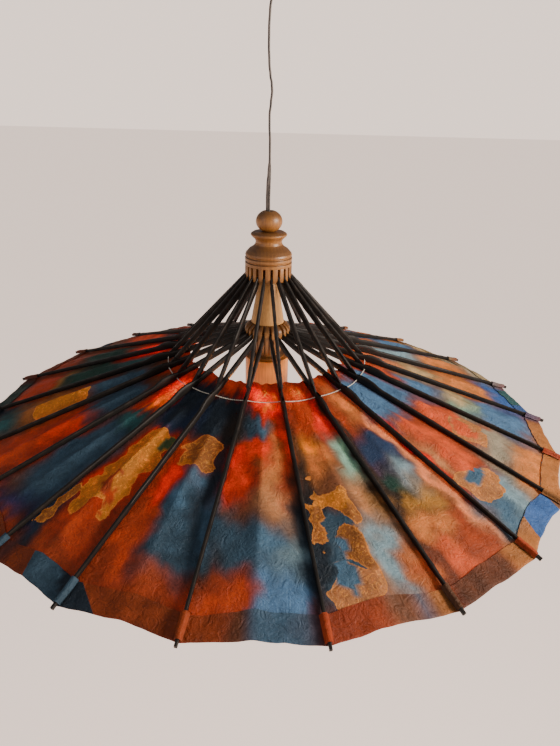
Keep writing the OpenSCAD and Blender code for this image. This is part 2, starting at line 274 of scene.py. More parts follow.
# ---------------------------------------------------------------- paper
def waves(x, y, size, seed, count=8):
    """A soft random height of about -1 to 1, whose swells are about size across."""
    draw = np.random.default_rng(seed)
    total = np.zeros(np.broadcast(x, y).shape)
    for _ in range(count):
        way = draw.uniform(0, TAU)
        step = TAU / (size * draw.uniform(1.2, 2.6))
        total += np.sin((x * math.cos(way) + y * math.sin(way)) * step + draw.uniform(0, TAU))
    return total / math.sqrt(count)


def ease(value, low, high):
    """0 below low, 1 above high, and smooth between them."""
    t = np.clip((value - low) / (high - low), 0, 1)
    return t * t * (3 - 2 * t)


def azimuth_at(place):
    """The angle at a place that counts in ribs."""
    k = np.floor(place).astype(int)
    here, after = rib_azimuth(k), rib_azimuth(k + 1)
    return here + (after - here) * (place - k)


def rib_line(radius):
    """The height of the ribs' centre lines."""
    return PIVOT_Z - (radius - PIVOT_R) * math.tan(SLOPE)


def rim_radius(place):
    """The cut edge of the paper: points at the ribs and shallow scallops between them."""
    k = np.floor(place).astype(int)
    across = np.abs(2 * (place - k) - 1)
    deep = (6.8 + 1.8 * np.sin(k * 2.4) + 1.0 * np.sin(k * 5.1)) * MM
    ragged = 0.5 * MM * waves(place * RIB_GAP, place * 0, 16 * MM, 5)
    return RIM_R - deep * (1 - across ** 1.7) + ragged * (1 - across ** 4)


def torn_edge(place):
    """The torn inner edge, close to the joints."""
    return TORN_R + (1.9 * waves(place, place * 0, 0.5, 3) + 0.8 * waves(place, place * 0, 0.16, 4)) * MM


def paper_height(place, radius):
    """The height of the paper's middle. It is glued under the ribs, and its fold stands up between them."""
    k = np.floor(place).astype(int)
    u = place - k
    half = (rib_azimuth(k + 1) - rib_azimuth(k)) / 2
    flat_radius = radius * np.cos((2 * u - 1) * half) / np.cos(half)
    along = np.clip((radius - JOINT_R) / (RIM_R - JOINT_R), 0, 1)
    belly = 3 * MM - 1 * MM * along
    lift = (belly + 0.7 * MM + 1.2 * MM * ease(radius, RIM_R - 40 * MM, RIM_R - 26 * MM)) / math.cos(SLOPE)
    beside = np.abs(2 * u - 1)
    stand = (0.6 + 6.4 * np.sin(along * math.pi)) * (1 + 0.3 * np.sin(k * 1.9 + 0.6)) * MM
    fold = stand * ((1 - beside) - 0.3 * np.sin(math.pi * beside))
    angle = azimuth_at(place)
    x, y = radius * np.sin(angle), -radius * np.cos(angle)
    free = ease(np.minimum(u, 1 - u) * radius * 2 * half, 2.5 * MM, 10 * MM)
    crumple = 0.42 * waves(x, y, 20 * MM, 11) + 0.22 * waves(x, y, 8 * MM, 12)
    pull = 0.45 * waves(place * 60 * MM, radius * 0.25, 9 * MM, 13)
    return rib_line(flat_radius) - lift + fold + free * (crumple + pull) * MM


PAINTS = {
    "rust": "#96401a", "brick": "#a8421a", "ember": "#c23c10", "flame": "#d82c08", "spark": "#f2a224",
    "umber": "#5a3a26", "cocoa": "#7a4c32", "soil": "#3a2c22", "tan": "#b98456", "peach": "#d2895a",
    "coral": "#c25a30", "amber": "#c07c40", "ochre": "#a87a34", "moss": "#4c5a34", "pine": "#24443a",
    "night": "#1d2833", "navy": "#2a3c5a", "slate": "#3a5263", "steel": "#48687f", "sky": "#54789a",
    "haze": "#7f9aa4", "mint": "#86ac9c", "teal": "#2f5a5c", "violet": "#37305c", "putty": "#9c9480",
    "gold": "#c4852a", "bronze": "#8e5c2c", "cobalt": "#3c629c", "straw": "#b6a074",
}
# soft washes, laid one over another: place, radius, half width in ribs, half length in mm, paint, softness
# the narrow soil and night strips that hug a rib's side, at places -1.93, -0.2, -0.1, 0.05, 1.04, 1.08 and
# 2.06, are painted shadow of the ribs
WASHES = [
    (-0.5, 352, 0.60, 26, "brick", 0.35), (-0.15, 348, 0.70, 34, "rust", 0.3),
    (0.25, 350, 0.42, 30, "brick", 0.3), (0.78, 340, 0.30, 66, "sky", 0.35),
    (0.82, 300, 0.26, 26, "haze", 0.8), (0.3, 300, 0.32, 28, "slate", 0.4),
    (0.05, 330, 0.14, 20, "soil", 0.8), (0.6, 300, 0.18, 30, "steel", 0.6),
    (0.35, 256, 0.50, 24, "cocoa", 0.6), (0.75, 250, 0.28, 32, "tan", 0.8),
    (0.1, 226, 0.34, 34, "flame", 0.45), (0.2, 236, 0.2, 16, "ember", 0.6),
    (0.66, 205, 0.22, 36, "amber", 0.7), (0.45, 195, 0.2, 24, "ember", 0.6),
    (0.92, 200, 0.12, 50, "ember", 0.7), (0.15, 168, 0.3, 12, "slate", 0.6),
    (0.5, 168, 0.2, 9, "steel", 0.7), (0.2, 132, 0.5, 20, "flame", 0.4), (0.7, 136, 0.36, 20, "flame", 0.5),
    (0.62, 138, 0.14, 5, "spark", 0.9), (0.85, 128, 0.1, 5, "spark", 0.9),
    (-0.35, 292, 0.42, 46, "steel", 0.4), (-0.3, 330, 0.4, 10, "slate", 0.6),
    (-0.5, 310, 0.3, 24, "slate", 0.6), (-0.8, 300, 0.2, 60, "brick", 0.45),
    (-0.75, 250, 0.2, 28, "flame", 0.6), (-0.36, 240, 0.18, 16, "steel", 0.9),
    (-0.5, 160, 0.6, 36, "night", 0.3), (-0.1, 190, 0.16, 30, "soil", 0.7),
    (-0.2, 250, 0.12, 50, "night", 0.8), (-1.5, 352, 0.5, 30, "rust", 0.5),
    (-1.4, 330, 0.4, 26, "brick", 0.5), (-1.93, 325, 0.14, 60, "night", 0.6),
    (-1.5, 250, 0.4, 60, "ember", 0.5), (-1.5, 160, 0.55, 38, "navy", 0.35),
    (-1.6, 150, 0.4, 34, "night", 0.6), (-2.8, 362, 0.5, 16, "rust", 0.5),
    (-2.5, 346, 0.44, 16, "violet", 0.5), (-2.75, 326, 0.26, 22, "cocoa", 0.7),
    (-2.3, 325, 0.3, 24, "navy", 0.6), (-2.5, 270, 0.5, 62, "slate", 0.35),
    (-2.4, 205, 0.45, 20, "teal", 0.6), (-2.5, 150, 0.42, 34, "flame", 0.3),
    (-2.45, 172, 0.2, 9, "spark", 0.95), (-3.5, 310, 0.5, 70, "brick", 0.3),
    (-3.4, 270, 0.34, 30, "ember", 0.6), (-3.5, 205, 0.5, 36, "slate", 0.4),
    (-3.5, 150, 0.4, 20, "umber", 0.7), (-4.5, 345, 0.5, 24, "teal", 0.5),
    (-4.5, 290, 0.46, 44, "bronze", 0.5), (-4.4, 195, 0.5, 44, "slate", 0.4),
    (-4.5, 140, 0.4, 20, "umber", 0.7), (-5.3, 372, 0.6, 30, "night", 0.5),
    (-5.45, 330, 0.45, 30, "brick", 0.5), (-5.5, 292, 0.4, 12, "ochre", 0.8),
    (-5.5, 245, 0.5, 44, "pine", 0.4), (-5.4, 170, 0.5, 40, "teal", 0.6), (-6.5, 350, 0.5, 50, "rust", 0.5),
    (-6.4, 270, 0.5, 40, "pine", 0.5), (-6.3, 180, 0.5, 40, "flame", 0.6),
    (-7.5, 350, 0.6, 40, "cocoa", 0.5), (-7.5, 260, 0.5, 50, "coral", 0.5),
    (-7.5, 170, 0.5, 40, "slate", 0.5), (-8.5, 350, 0.5, 36, "teal", 0.6),
    (-8.5, 270, 0.5, 50, "rust", 0.5), (-8.5, 170, 0.5, 50, "ember", 0.6),
    (-9.5, 340, 0.6, 50, "slate", 0.6), (-9.5, 240, 0.6, 50, "amber", 0.6),
    (-9.5, 160, 0.5, 36, "teal", 0.6), (-10.5, 340, 0.6, 40, "coral", 0.6),
    (-10.5, 240, 0.6, 60, "sky", 0.6), (-10.5, 150, 0.5, 40, "brick", 0.6),
    (1.5, 375, 0.6, 22, "coral", 0.4), (1.3, 310, 0.36, 60, "slate", 0.4), (1.6, 330, 0.14, 46, "tan", 0.8),
    (1.78, 325, 0.2, 50, "haze", 0.5), (1.93, 345, 0.1, 46, "amber", 0.7),
    (1.5, 245, 0.5, 24, "cocoa", 0.5), (1.82, 222, 0.16, 36, "mint", 0.5),
    (1.3, 205, 0.3, 36, "amber", 0.6), (1.35, 192, 0.14, 10, "spark", 0.9),
    (1.8, 270, 0.16, 22, "tan", 0.9), (1.5, 150, 0.45, 36, "brick", 0.4),
    (1.85, 160, 0.18, 30, "flame", 0.6), (1.08, 250, 0.1, 70, "soil", 0.9),
    (1.04, 320, 0.1, 60, "night", 0.9), (2.45, 345, 0.5, 44, "coral", 0.4),
    (2.3, 320, 0.2, 20, "amber", 0.8), (2.7, 340, 0.12, 34, "rust", 0.8),
    (2.4, 284, 0.45, 20, "ochre", 0.6), (2.2, 258, 0.2, 18, "pine", 0.7), (2.6, 250, 0.2, 26, "haze", 0.8),
    (2.45, 215, 0.42, 28, "navy", 0.5), (2.4, 160, 0.45, 32, "rust", 0.5),
    (2.6, 150, 0.2, 28, "amber", 0.8), (2.9, 270, 0.1, 130, "peach", 0.5),
    (2.06, 200, 0.06, 190, "soil", 0.8), (3.5, 355, 0.5, 36, "haze", 0.4),
    (3.25, 345, 0.2, 30, "steel", 0.7), (3.92, 350, 0.1, 40, "putty", 0.8),
    (3.1, 385, 0.3, 14, "amber", 0.6), (3.5, 250, 0.46, 50, "coral", 0.3), (3.2, 265, 0.12, 40, "tan", 0.9),
    (3.5, 160, 0.5, 42, "sky", 0.35), (3.06, 240, 0.07, 60, "flame", 0.9),
    (4.5, 365, 0.6, 36, "amber", 0.4), (4.5, 310, 0.5, 26, "putty", 0.6),
    (4.5, 245, 0.45, 42, "coral", 0.4), (4.5, 160, 0.5, 42, "sky", 0.35), (5.5, 382, 0.5, 20, "amber", 0.5),
    (5.5, 325, 0.5, 42, "sky", 0.5), (5.4, 268, 0.45, 22, "mint", 0.6), (5.6, 255, 0.3, 20, "straw", 0.8),
    (5.5, 205, 0.5, 34, "sky", 0.5), (5.5, 150, 0.4, 24, "coral", 0.7), (6.5, 360, 0.6, 44, "cobalt", 0.5),
    (6.5, 285, 0.5, 46, "amber", 0.4), (6.5, 210, 0.5, 34, "straw", 0.6), (6.5, 155, 0.5, 30, "peach", 0.6),
    (7.5, 365, 0.5, 30, "putty", 0.6), (7.5, 290, 0.5, 50, "amber", 0.5), (7.5, 200, 0.5, 50, "haze", 0.6),
    (8.5, 360, 0.6, 36, "straw", 0.6), (8.5, 270, 0.6, 50, "sky", 0.5), (8.5, 170, 0.5, 44, "amber", 0.6),
    (9.5, 350, 0.6, 50, "amber", 0.5), (9.5, 240, 0.6, 50, "sky", 0.5), (9.5, 160, 0.6, 36, "peach", 0.6),
]
# gold-leaf shapes and paint with a crisp edge: place, radius, half width in ribs, half length in mm,
# paint, leaf
LEAF = [
    (-1.42, 226, 0.36, 28, "gold", 1), (-1.5, 255, 0.3, 42, "gold", 1), (-1.66, 290, 0.14, 34, "gold", 1),
    (-1.3, 285, 0.16, 26, "gold", 1), (-1.9, 318, 0.07, 24, "bronze", 1),
    (-0.52, 212, 0.34, 21, "bronze", 1), (-0.6, 224, 0.16, 10, "gold", 1), (1.32, 352, 0.2, 22, "tan", 1),
    (1.42, 318, 0.12, 32, "bronze", 1), (1.34, 266, 0.26, 9, "gold", 1), (1.14, 290, 0.07, 30, "bronze", 1),
    (1.5, 290, 0.08, 26, "bronze", 1), (-4.4, 272, 0.36, 34, "gold", 1), (3.45, 318, 0.34, 17, "tan", 1),
    (3.3, 305, 0.2, 22, "tan", 1), (4.5, 272, 0.38, 24, "tan", 1), (3.52, 302, 0.2, 13, "steel", 0),
    (1.24, 338, 0.1, 12, "steel", 0), (1.3, 312, 0.1, 9, "steel", 0), (-1.36, 296, 0.08, 14, "brick", 0),
    (-1.25, 212, 0.12, 11, "moss", 0), (-1.52, 278, 0.09, 10, "rust", 0), (4.42, 268, 0.2, 14, "coral", 0),
]
# the folded hem's colours: from place, to place, slant, paint, 1 for a pasted piece with a crisp edge
HEM_PIECES = [
    (-1.5, -1.02, 0.1, "slate", 1), (-1.02, -0.7, 0.22, "night", 1), (-0.7, 0.3, 0.0, "rust", 0),
    (0.3, 0.5, 0.0, "umber", 0), (0.46, 0.94, 0.0, "steel", 0), (1.0, 1.5, 0.0, "brick", 0),
    (1.5, 1.72, 0.0, "cocoa", 0), (1.72, 1.84, 0.0, "steel", 0), (1.84, 2, 0.0, "amber", 0),
    (2.1, 2.75, 0.0, "umber", 0), (2.75, 3.25, 0.0, "amber", 0), (3.28, 3.9, -0.1, "cobalt", 1),
    (4.05, 4.95, 0.0, "amber", 0), (5.05, 5.9, 0.0, "amber", 0), (6.4, 6.9, 0.1, "teal", 1),
    (7.1, 7.8, 0.0, "straw", 0), (-2.9, -2.1, 0.0, "rust", 0), (-3.9, -3.1, 0.0, "brick", 0),
    (-5.8, -5.1, 0.0, "pine", 0), (-7.8, -7.2, 0.1, "slate", 1), (-9.7, -9.2, 0.0, "teal", 0),
]


def from_place(place, centre):
    """How far a place lies from a centre round the lamp, in ribs."""
    return (place - centre + RIB_COUNT / 2) % RIB_COUNT - RIB_COUNT / 2


def paint(place, radius):
    """The paper's wash colour, the crisp paint over it, how far inside its edge (mm) and how much is leaf."""
    angle = azimuth_at(place)
    x, y = radius * np.sin(angle), -radius * np.cos(angle)
    drift = 0.07 * waves(x, y, 34 * MM, 21) + 0.03 * waves(x, y, 12 * MM, 22)
    slip = (5 * waves(x, y, 30 * MM, 23) + 2.5 * waves(x, y, 11 * MM, 24)) * MM
    # the paint ran down the folds
    run = 4 * MM * waves(place * RIB_GAP, radius * 0.15, 16 * MM, 27)
    wash = np.zeros(place.shape + (4,))
    wash[:] = colour(PAINTS["rust"])
    for centre, middle, wide, long, name, soft in WASHES:
        across = from_place(place + drift, centre) / wide
        down = (radius + slip + run - middle * MM) / (long * MM)
        reach = (np.abs(across / 1.08) ** 2.6 + np.abs(down / 1.08) ** 2.6) ** (1 / 2.6)
        cover = (1 - ease(reach, 1 - soft, 1 + soft * 0.8))[..., None]
        wash += cover * (np.array(colour(PAINTS[name])) - wash)
        # wet washes run into each other and dry darker there
        wash[..., :3] *= 1 - 0.9 * cover * (1 - cover)
    over = wash.copy()
    edge = np.full(place.shape, OUTSIDE)
    leaf = np.zeros(place.shape)
    ragged = 2.8 * waves(x, y, 13 * MM, 25) + 1.1 * waves(x, y, 6 * MM, 26)
    for centre, middle, wide, long, name, gilt in LEAF:
        across = from_place(place + 0.4 * drift, centre) / wide
        reach = np.hypot(across, (radius + 0.4 * slip - middle * MM) / (long * MM))
        inside = (1 - reach) * min(long, wide * radius.mean() * TAU / RIB_COUNT / MM) + ragged
        if gilt:
            better = inside > edge
            over[better] = colour(PAINTS[name])
            leaf[better] = 1.0
            edge = np.maximum(edge, inside)
        else:
            hole = inside > 0
            over[hole] = colour(PAINTS[name])
            leaf[hole] = 0.0
    return wash, over, edge, leaf


def hem_paint(place, radius, rim):
    """The hem's colours: the paper's own, darkened as painted shade where it is doubled, and the pieces
    pasted over it.
    """
    wash = paint(place, rim - 0.6 * (rim - radius))[0]
    over = wash.copy()
    edge = np.full(place.shape, OUTSIDE)
    inward = (rim - radius) / HEM_WIDTH
    for start, end, slant, name, pasted in HEM_PIECES:
        middle, half = (start + end) / 2, (end - start) / 2
        inside = (half - np.abs(from_place(place + slant * inward, middle))) * RIB_GAP / MM
        if pasted:
            better = inside > edge
            over[better] = colour(PAINTS[name])
            edge = np.maximum(edge, inside)
        else:
            wash += 0.8 * ease(inside, -7, 9)[..., None] * (np.array(colour(PAINTS[name])) - wash)
    # painted shade: the doubled hem is darkened to 0.82 of its wash
    wash[..., :3] *= 0.82
    return wash, over, edge, np.zeros(place.shape)


# where the bulb shines hardest through the paper: place, radius, half width in ribs, half length in mm
GLOWS = [
    (0.45, 124, 0.6, 26), (-2.5, 142, 0.5, 34), (1.5, 120, 0.5, 22), (0.15, 215, 0.3, 30),
    (-6.3, 160, 0.5, 30), (-0.78, 260, 0.2, 30), (1.35, 190, 0.2, 14),
]


def glow_at(place, radius):
    """How hard the bulb shines through, from 0 to 1."""
    glow = np.zeros(place.shape)
    for centre, middle, wide, long in GLOWS:
        reach = np.hypot(from_place(place, centre) / wide, (radius - middle * MM) / (long * MM))
        glow = np.maximum(glow, (1 - ease(reach, 0.2, 1.15)) * (1 if middle < 170 else 0.4))
    return glow


def store_paint(mesh, wash, over, edge, leaf, glow):
    """Keeps the painted colours on the mesh's points."""
    for name, values in (("wash", wash), ("over", over)):
        layer = mesh.attributes.new(name, "FLOAT_COLOR", "POINT")
        layer.data.foreach_set("color", np.ascontiguousarray(values, dtype=np.float32).ravel())
    for name, values in (("edge", edge), ("leaf", leaf), ("glow", glow)):
        layer = mesh.attributes.new(name, "FLOAT", "POINT")
        layer.data.foreach_set("value", np.ascontiguousarray(values, dtype=np.float32).ravel())


def thickened(mesh, thickness):
    """The mesh as a closed skin of this thickness, half of it on each side."""
    body = linked("skin", mesh)
    skin = body.modifiers.new("skin", "SOLIDIFY")
    skin.thickness = thickness
    skin.offset = 0
    result = plain_mesh(body)
    result.shade_smooth()
    result.set_sharp_from_angle(angle=math.radians(50))
    return result


def canopy_sheet():
    """One sheet of paper from the torn middle to the rim, folded back on top as a hem."""
    half = [0, 0.02, 0.045, 0.08, 0.125, 0.18, 0.235, 0.29, 0.345, 0.395, 0.44, 0.475]
    steps = np.array(half + [0.5] + [1 - h for h in half[:0:-1]])
    place = (np.arange(RIB_COUNT)[:, None] + steps).ravel()
    rim, inner = rim_radius(place), torn_edge(place)
    rows = []
    for v in np.linspace(0, 1, 66):
        radius = inner + (rim - inner) * v
        rows.append((radius, paper_height(place, radius), paint(place, radius) + (glow_at(place, radius),)))
    turned = 0.55 * MM
    for inward, rise in ((-0.3, 0.45), (0, 1), (2, 1.05), (6, 1.0), (10, 1.1), (14, 1.0), (18, 1.05),
                         (22, 1.1)):
        uneven = 1 + 0.06 * waves(place, place * 0, 0.7, 6) * (inward > 12)
        radius = rim - inward * MM * uneven
        height = paper_height(place, np.minimum(radius, rim)) + 2 * turned * rise
        rows.append((radius, height, hem_paint(place, radius, rim) + (0 * place,)))
    angle = azimuth_at(place)
    radius = np.array([row[0] for row in rows])
    height = np.array([row[1] for row in rows])
    points = np.stack([radius * np.sin(angle), -radius * np.cos(angle), height], -1).reshape(-1, 3)
    count = len(place)
    faces = [(i * count + j, (i + 1) * count + j, (i + 1) * count + (j + 1) % count,
              i * count + (j + 1) % count)
             for i in range(len(rows) - 1) for j in range(count)]
    mesh = new_mesh("painted_canopy", points, faces)
    store_paint(mesh, *(np.array([row[2][n] for row in rows]) for n in range(5)))
    return thickened(mesh, PAPER_THICK)


def oiled_paper():
    """Handmade mulberry paper, painted in washes and oiled: long soft fibres, cloudy colour and a dull
    sheen, and light comes through it. Gold leaf lies crinkled on parts of it."""
    material, tree, shader = new_material("oiled_mulberry_paper")
    place = add(tree, "ShaderNodeTexCoord").outputs["Object"]
    wash = add(tree, "ShaderNodeAttribute", attribute_name="wash").outputs["Color"]
    over = add(tree, "ShaderNodeAttribute", attribute_name="over").outputs["Color"]
    edge = add(tree, "ShaderNodeAttribute", attribute_name="edge").outputs["Fac"]
    leaf = add(tree, "ShaderNodeAttribute", attribute_name="leaf").outputs["Fac"]
    cloud = add(tree, "ShaderNodeTexNoise",
                {"Vector": place, "Scale": 1 / (16 * MM), "Detail": 5.0, "Roughness": 0.6}).outputs["Fac"]
    fibre = add(tree, "ShaderNodeTexNoise",
                {"Vector": place, "Scale": 1 / (3.2 * MM), "Detail": 4.0, "Roughness": 0.7,
                 "Distortion": 1.4}).outputs["Fac"]
    # how far a point lies inside crisp paint, in millimetres, with a ragged edge
    ragged = add(tree, "ShaderNodeMath", {0: fibre, 1: 3.0, 2: edge}, operation="MULTIPLY_ADD").outputs[0]
    covered = add(tree, "ShaderNodeMapRange", {"Value": ragged, "From Min": 1.3, "From Max": 2.1}).outputs[0]
    crinkle = add(tree, "ShaderNodeTexNoise",
                  {"Vector": place, "Scale": 1 / (7 * MM), "Detail": 3.0, "Distortion": 2.6}).outputs["Fac"]
    # the leaf's colour steps dark and bright with the same crinkle noise that bumps it: painted glints and
    # shade on a crinkled leaf
    gilt = add(tree, "ShaderNodeValToRGB", {"Fac": crinkle},
               stops=((0.34, "#7c4a1e"), (0.44, "#96602a"), (0.5, "#6e3416"), (0.56, "#a8702c"),
                      (0.66, "#e0a044")))
    leafed = add(tree, "ShaderNodeMix", {0: leaf, 6: over, 7: gilt.outputs["Color"]}, data_type="RGBA")
    softened = add(tree, "ShaderNodeMix", {0: 0.6, 6: leafed.outputs[2], 7: over}, data_type="RGBA")
    laid = add(tree, "ShaderNodeMix", {0: covered, 6: wash, 7: softened.outputs[2]}, data_type="RGBA")
    # a lighter line where the leaf ends
    outline = add(tree, "ShaderNodeMapRange", {"Value": ragged, "From Min": 3.4, "From Max": 1.6}).outputs[0]
    outline = add(tree, "ShaderNodeMath", {0: outline, 1: covered}, operation="MULTIPLY").outputs[0]
    outline = add(tree, "ShaderNodeMath", {0: outline, 1: leaf}, operation="MULTIPLY").outputs[0]
    lined = add(tree, "ShaderNodeMix", {0: outline, 6: laid.outputs[2], 7: colour("#cf8c3c")},
                data_type="RGBA")
    # cloudy paint, and paler and darker fibres
    mottle = add(tree, "ShaderNodeMapRange",
                 {"Value": cloud, "From Min": 0.3, "From Max": 0.7, "To Min": 0.92,
                  "To Max": 1.52}).outputs[0]
    streak = add(tree, "ShaderNodeMapRange",
                 {"Value": fibre, "From Min": 0.3, "From Max": 0.7, "To Min": 0.84,
                  "To Max": 1.16}).outputs[0]
    tone = add(tree, "ShaderNodeMath", {0: mottle, 1: streak}, operation="MULTIPLY").outputs[0]
    toned = add(tree, "ShaderNodeVectorMath", {0: lined.outputs[2], "Scale": tone},
                operation="SCALE").outputs[0]
    tree.links.new(toned, shader.inputs["Base Color"])
    shader.inputs["Roughness"].default_value = 0.58
    shader.inputs["Specular IOR Level"].default_value = 0.35
    # the sheet was crumpled before it was oiled, in creases about 12 mm apart
    crease = add(tree, "ShaderNodeTexNoise", {"Vector": place, "Scale": 1 / (12 * MM), "Detail": 2.0,
                                              "Distortion": 1.2}).outputs["Fac"]
    crease = add(tree, "ShaderNodeMath", {0: crease, 1: 0.5}, operation="SUBTRACT").outputs[0]
    crease = add(tree, "ShaderNodeMath", {0: crease}, operation="ABSOLUTE").outputs[0]
    grain = add(tree, "ShaderNodeMath", {0: crease, 1: -3.2, 2: fibre}, operation="MULTIPLY_ADD").outputs[0]
    grain = add(tree, "ShaderNodeMath", {0: crinkle, 1: 0.3, 2: grain}, operation="MULTIPLY_ADD").outputs[0]
    bump = add(tree, "ShaderNodeBump", {"Height": grain, "Distance": 1.1 * MM, "Strength": 0.8})
    tree.links.new(bump.outputs["Normal"], shader.inputs["Normal"])
    # the crinkles nearest the bulb catch its light as hot yellow threads in a red glow
    glow = add(tree, "ShaderNodeAttribute", attribute_name="glow").outputs["Fac"]
    heat = add(tree, "ShaderNodeMath", {0: crinkle, 1: glow}, operation="MULTIPLY").outputs[0]
    hot = add(tree, "ShaderNodeValToRGB", {"Fac": heat},
              stops=((0.12, "#000000"), (0.3, "#4a0e02"), (0.46, "#a82a06"), (0.54, "#e87a14"),
                      (0.68, "#ffd060")))
    tree.links.new(hot.outputs["Color"], shader.inputs["Emission Color"])
    shader.inputs["Emission Strength"].default_value = 0.7
    through = add(tree, "ShaderNodeBsdfTranslucent", {"Color": toned, "Normal": bump.outputs["Normal"]})
    both = add(tree, "ShaderNodeMixShader", {0: 0.42, 1: shader.outputs[0], 2: through.outputs[0]})
    tree.links.new(both.outputs[0], tree.nodes["Material Output"].inputs["Surface"])
    return material


def at_rib(k, along, sideways, up):
    """A point given along rib k, across it and above its centre line."""
    angle = float(rib_azimuth(k))
    radius = PIVOT_R + along * math.cos(SLOPE) + up * math.sin(SLOPE)
    height = PIVOT_Z - along * math.sin(SLOPE) + up * math.cos(SLOPE)
    return Vector((radius * math.sin(angle) + sideways * math.cos(angle),
                   -radius * math.cos(angle) + sideways * math.sin(angle), height))


TAB_PAINTS = {22: "rust", 1: "brick", 2: "umber", 3: "brick", 4: "bronze", 21: "slate", 20: "slate",
              5: "brick"}


def rib_end_tab(k):
    """A strip of paper pasted over the end of rib k, which makes its pocket in the hem."""
    along_rim = (RIM_R - PIVOT_R) / math.cos(SLOPE)
    sides = [-3.8, -3.3, -2.7, -2.2, -1.8, -1.2, 0, 1.2, 1.8, 2.2, 2.7, 3.3, 3.8]
    ups = [-1.15, -1.0, -0.2, 1.6, 2.7, 3.15, 3.25, 3.15, 2.7, 1.6, -0.2, -1.0, -1.15]
    draw = np.random.default_rng(k)
    length = HEM_WIDTH + draw.uniform(0.5, 4) * MM
    rows = 9
    points = []
    for i in range(rows):
        t = i / (rows - 1)
        for side, up in zip(sides, ups):
            wide = 1 + 0.16 * (1 - t) + draw.uniform(-0.02, 0.02)
            slack = 0.25 * MM * math.sin(7 * t + k) * (abs(side) < 4)
            points.append(at_rib(k, along_rim + 0.5 * MM - length * (1 - t), side * wide * MM,
                                 up * MM + slack))
    count = len(sides)
    faces = [(i * count + j, (i + 1) * count + j, (i + 1) * count + j + 1, i * count + j + 1)
             for i in range(rows - 1) for j in range(count - 1)]
    mesh = new_mesh(f"rib_end_tab_{k:02d}", points, faces)
    place = np.full((rows, count), float(k)) + np.array(sides) * 0.009
    radius = RIM_R - length * (1 - np.linspace(0, 1, rows)[:, None]) + 0 * place
    wash = hem_paint(place, radius, RIM_R)[0]
    if k in TAB_PAINTS:
        wash[:] = colour(PAINTS[TAB_PAINTS[k]])
    store_paint(mesh, wash, wash, np.full(place.shape, OUTSIDE), 0 * place, 0 * place)
    return thickened(mesh, 0.35 * MM)


def paper():
    """The canopy, and the tabs, which stay on their ribs."""
    finish = oiled_paper()
    canopy = finished("painted_canopy", canopy_sheet(), "lamp", "oiled_paper", finish, "canopy_paper")
    tabs = [finished(f"rib_end_tab_{k:02d}", rib_end_tab(k), f"rib_{k:02d}", "oiled_paper", finish)
            for k in range(1, RIB_COUNT + 1)]
    # the paper was cut as a ring sector: it is as wide as the shade's slant, with the hem
    # opened flat, the paper lies just under the level ribs
    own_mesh(canopy)


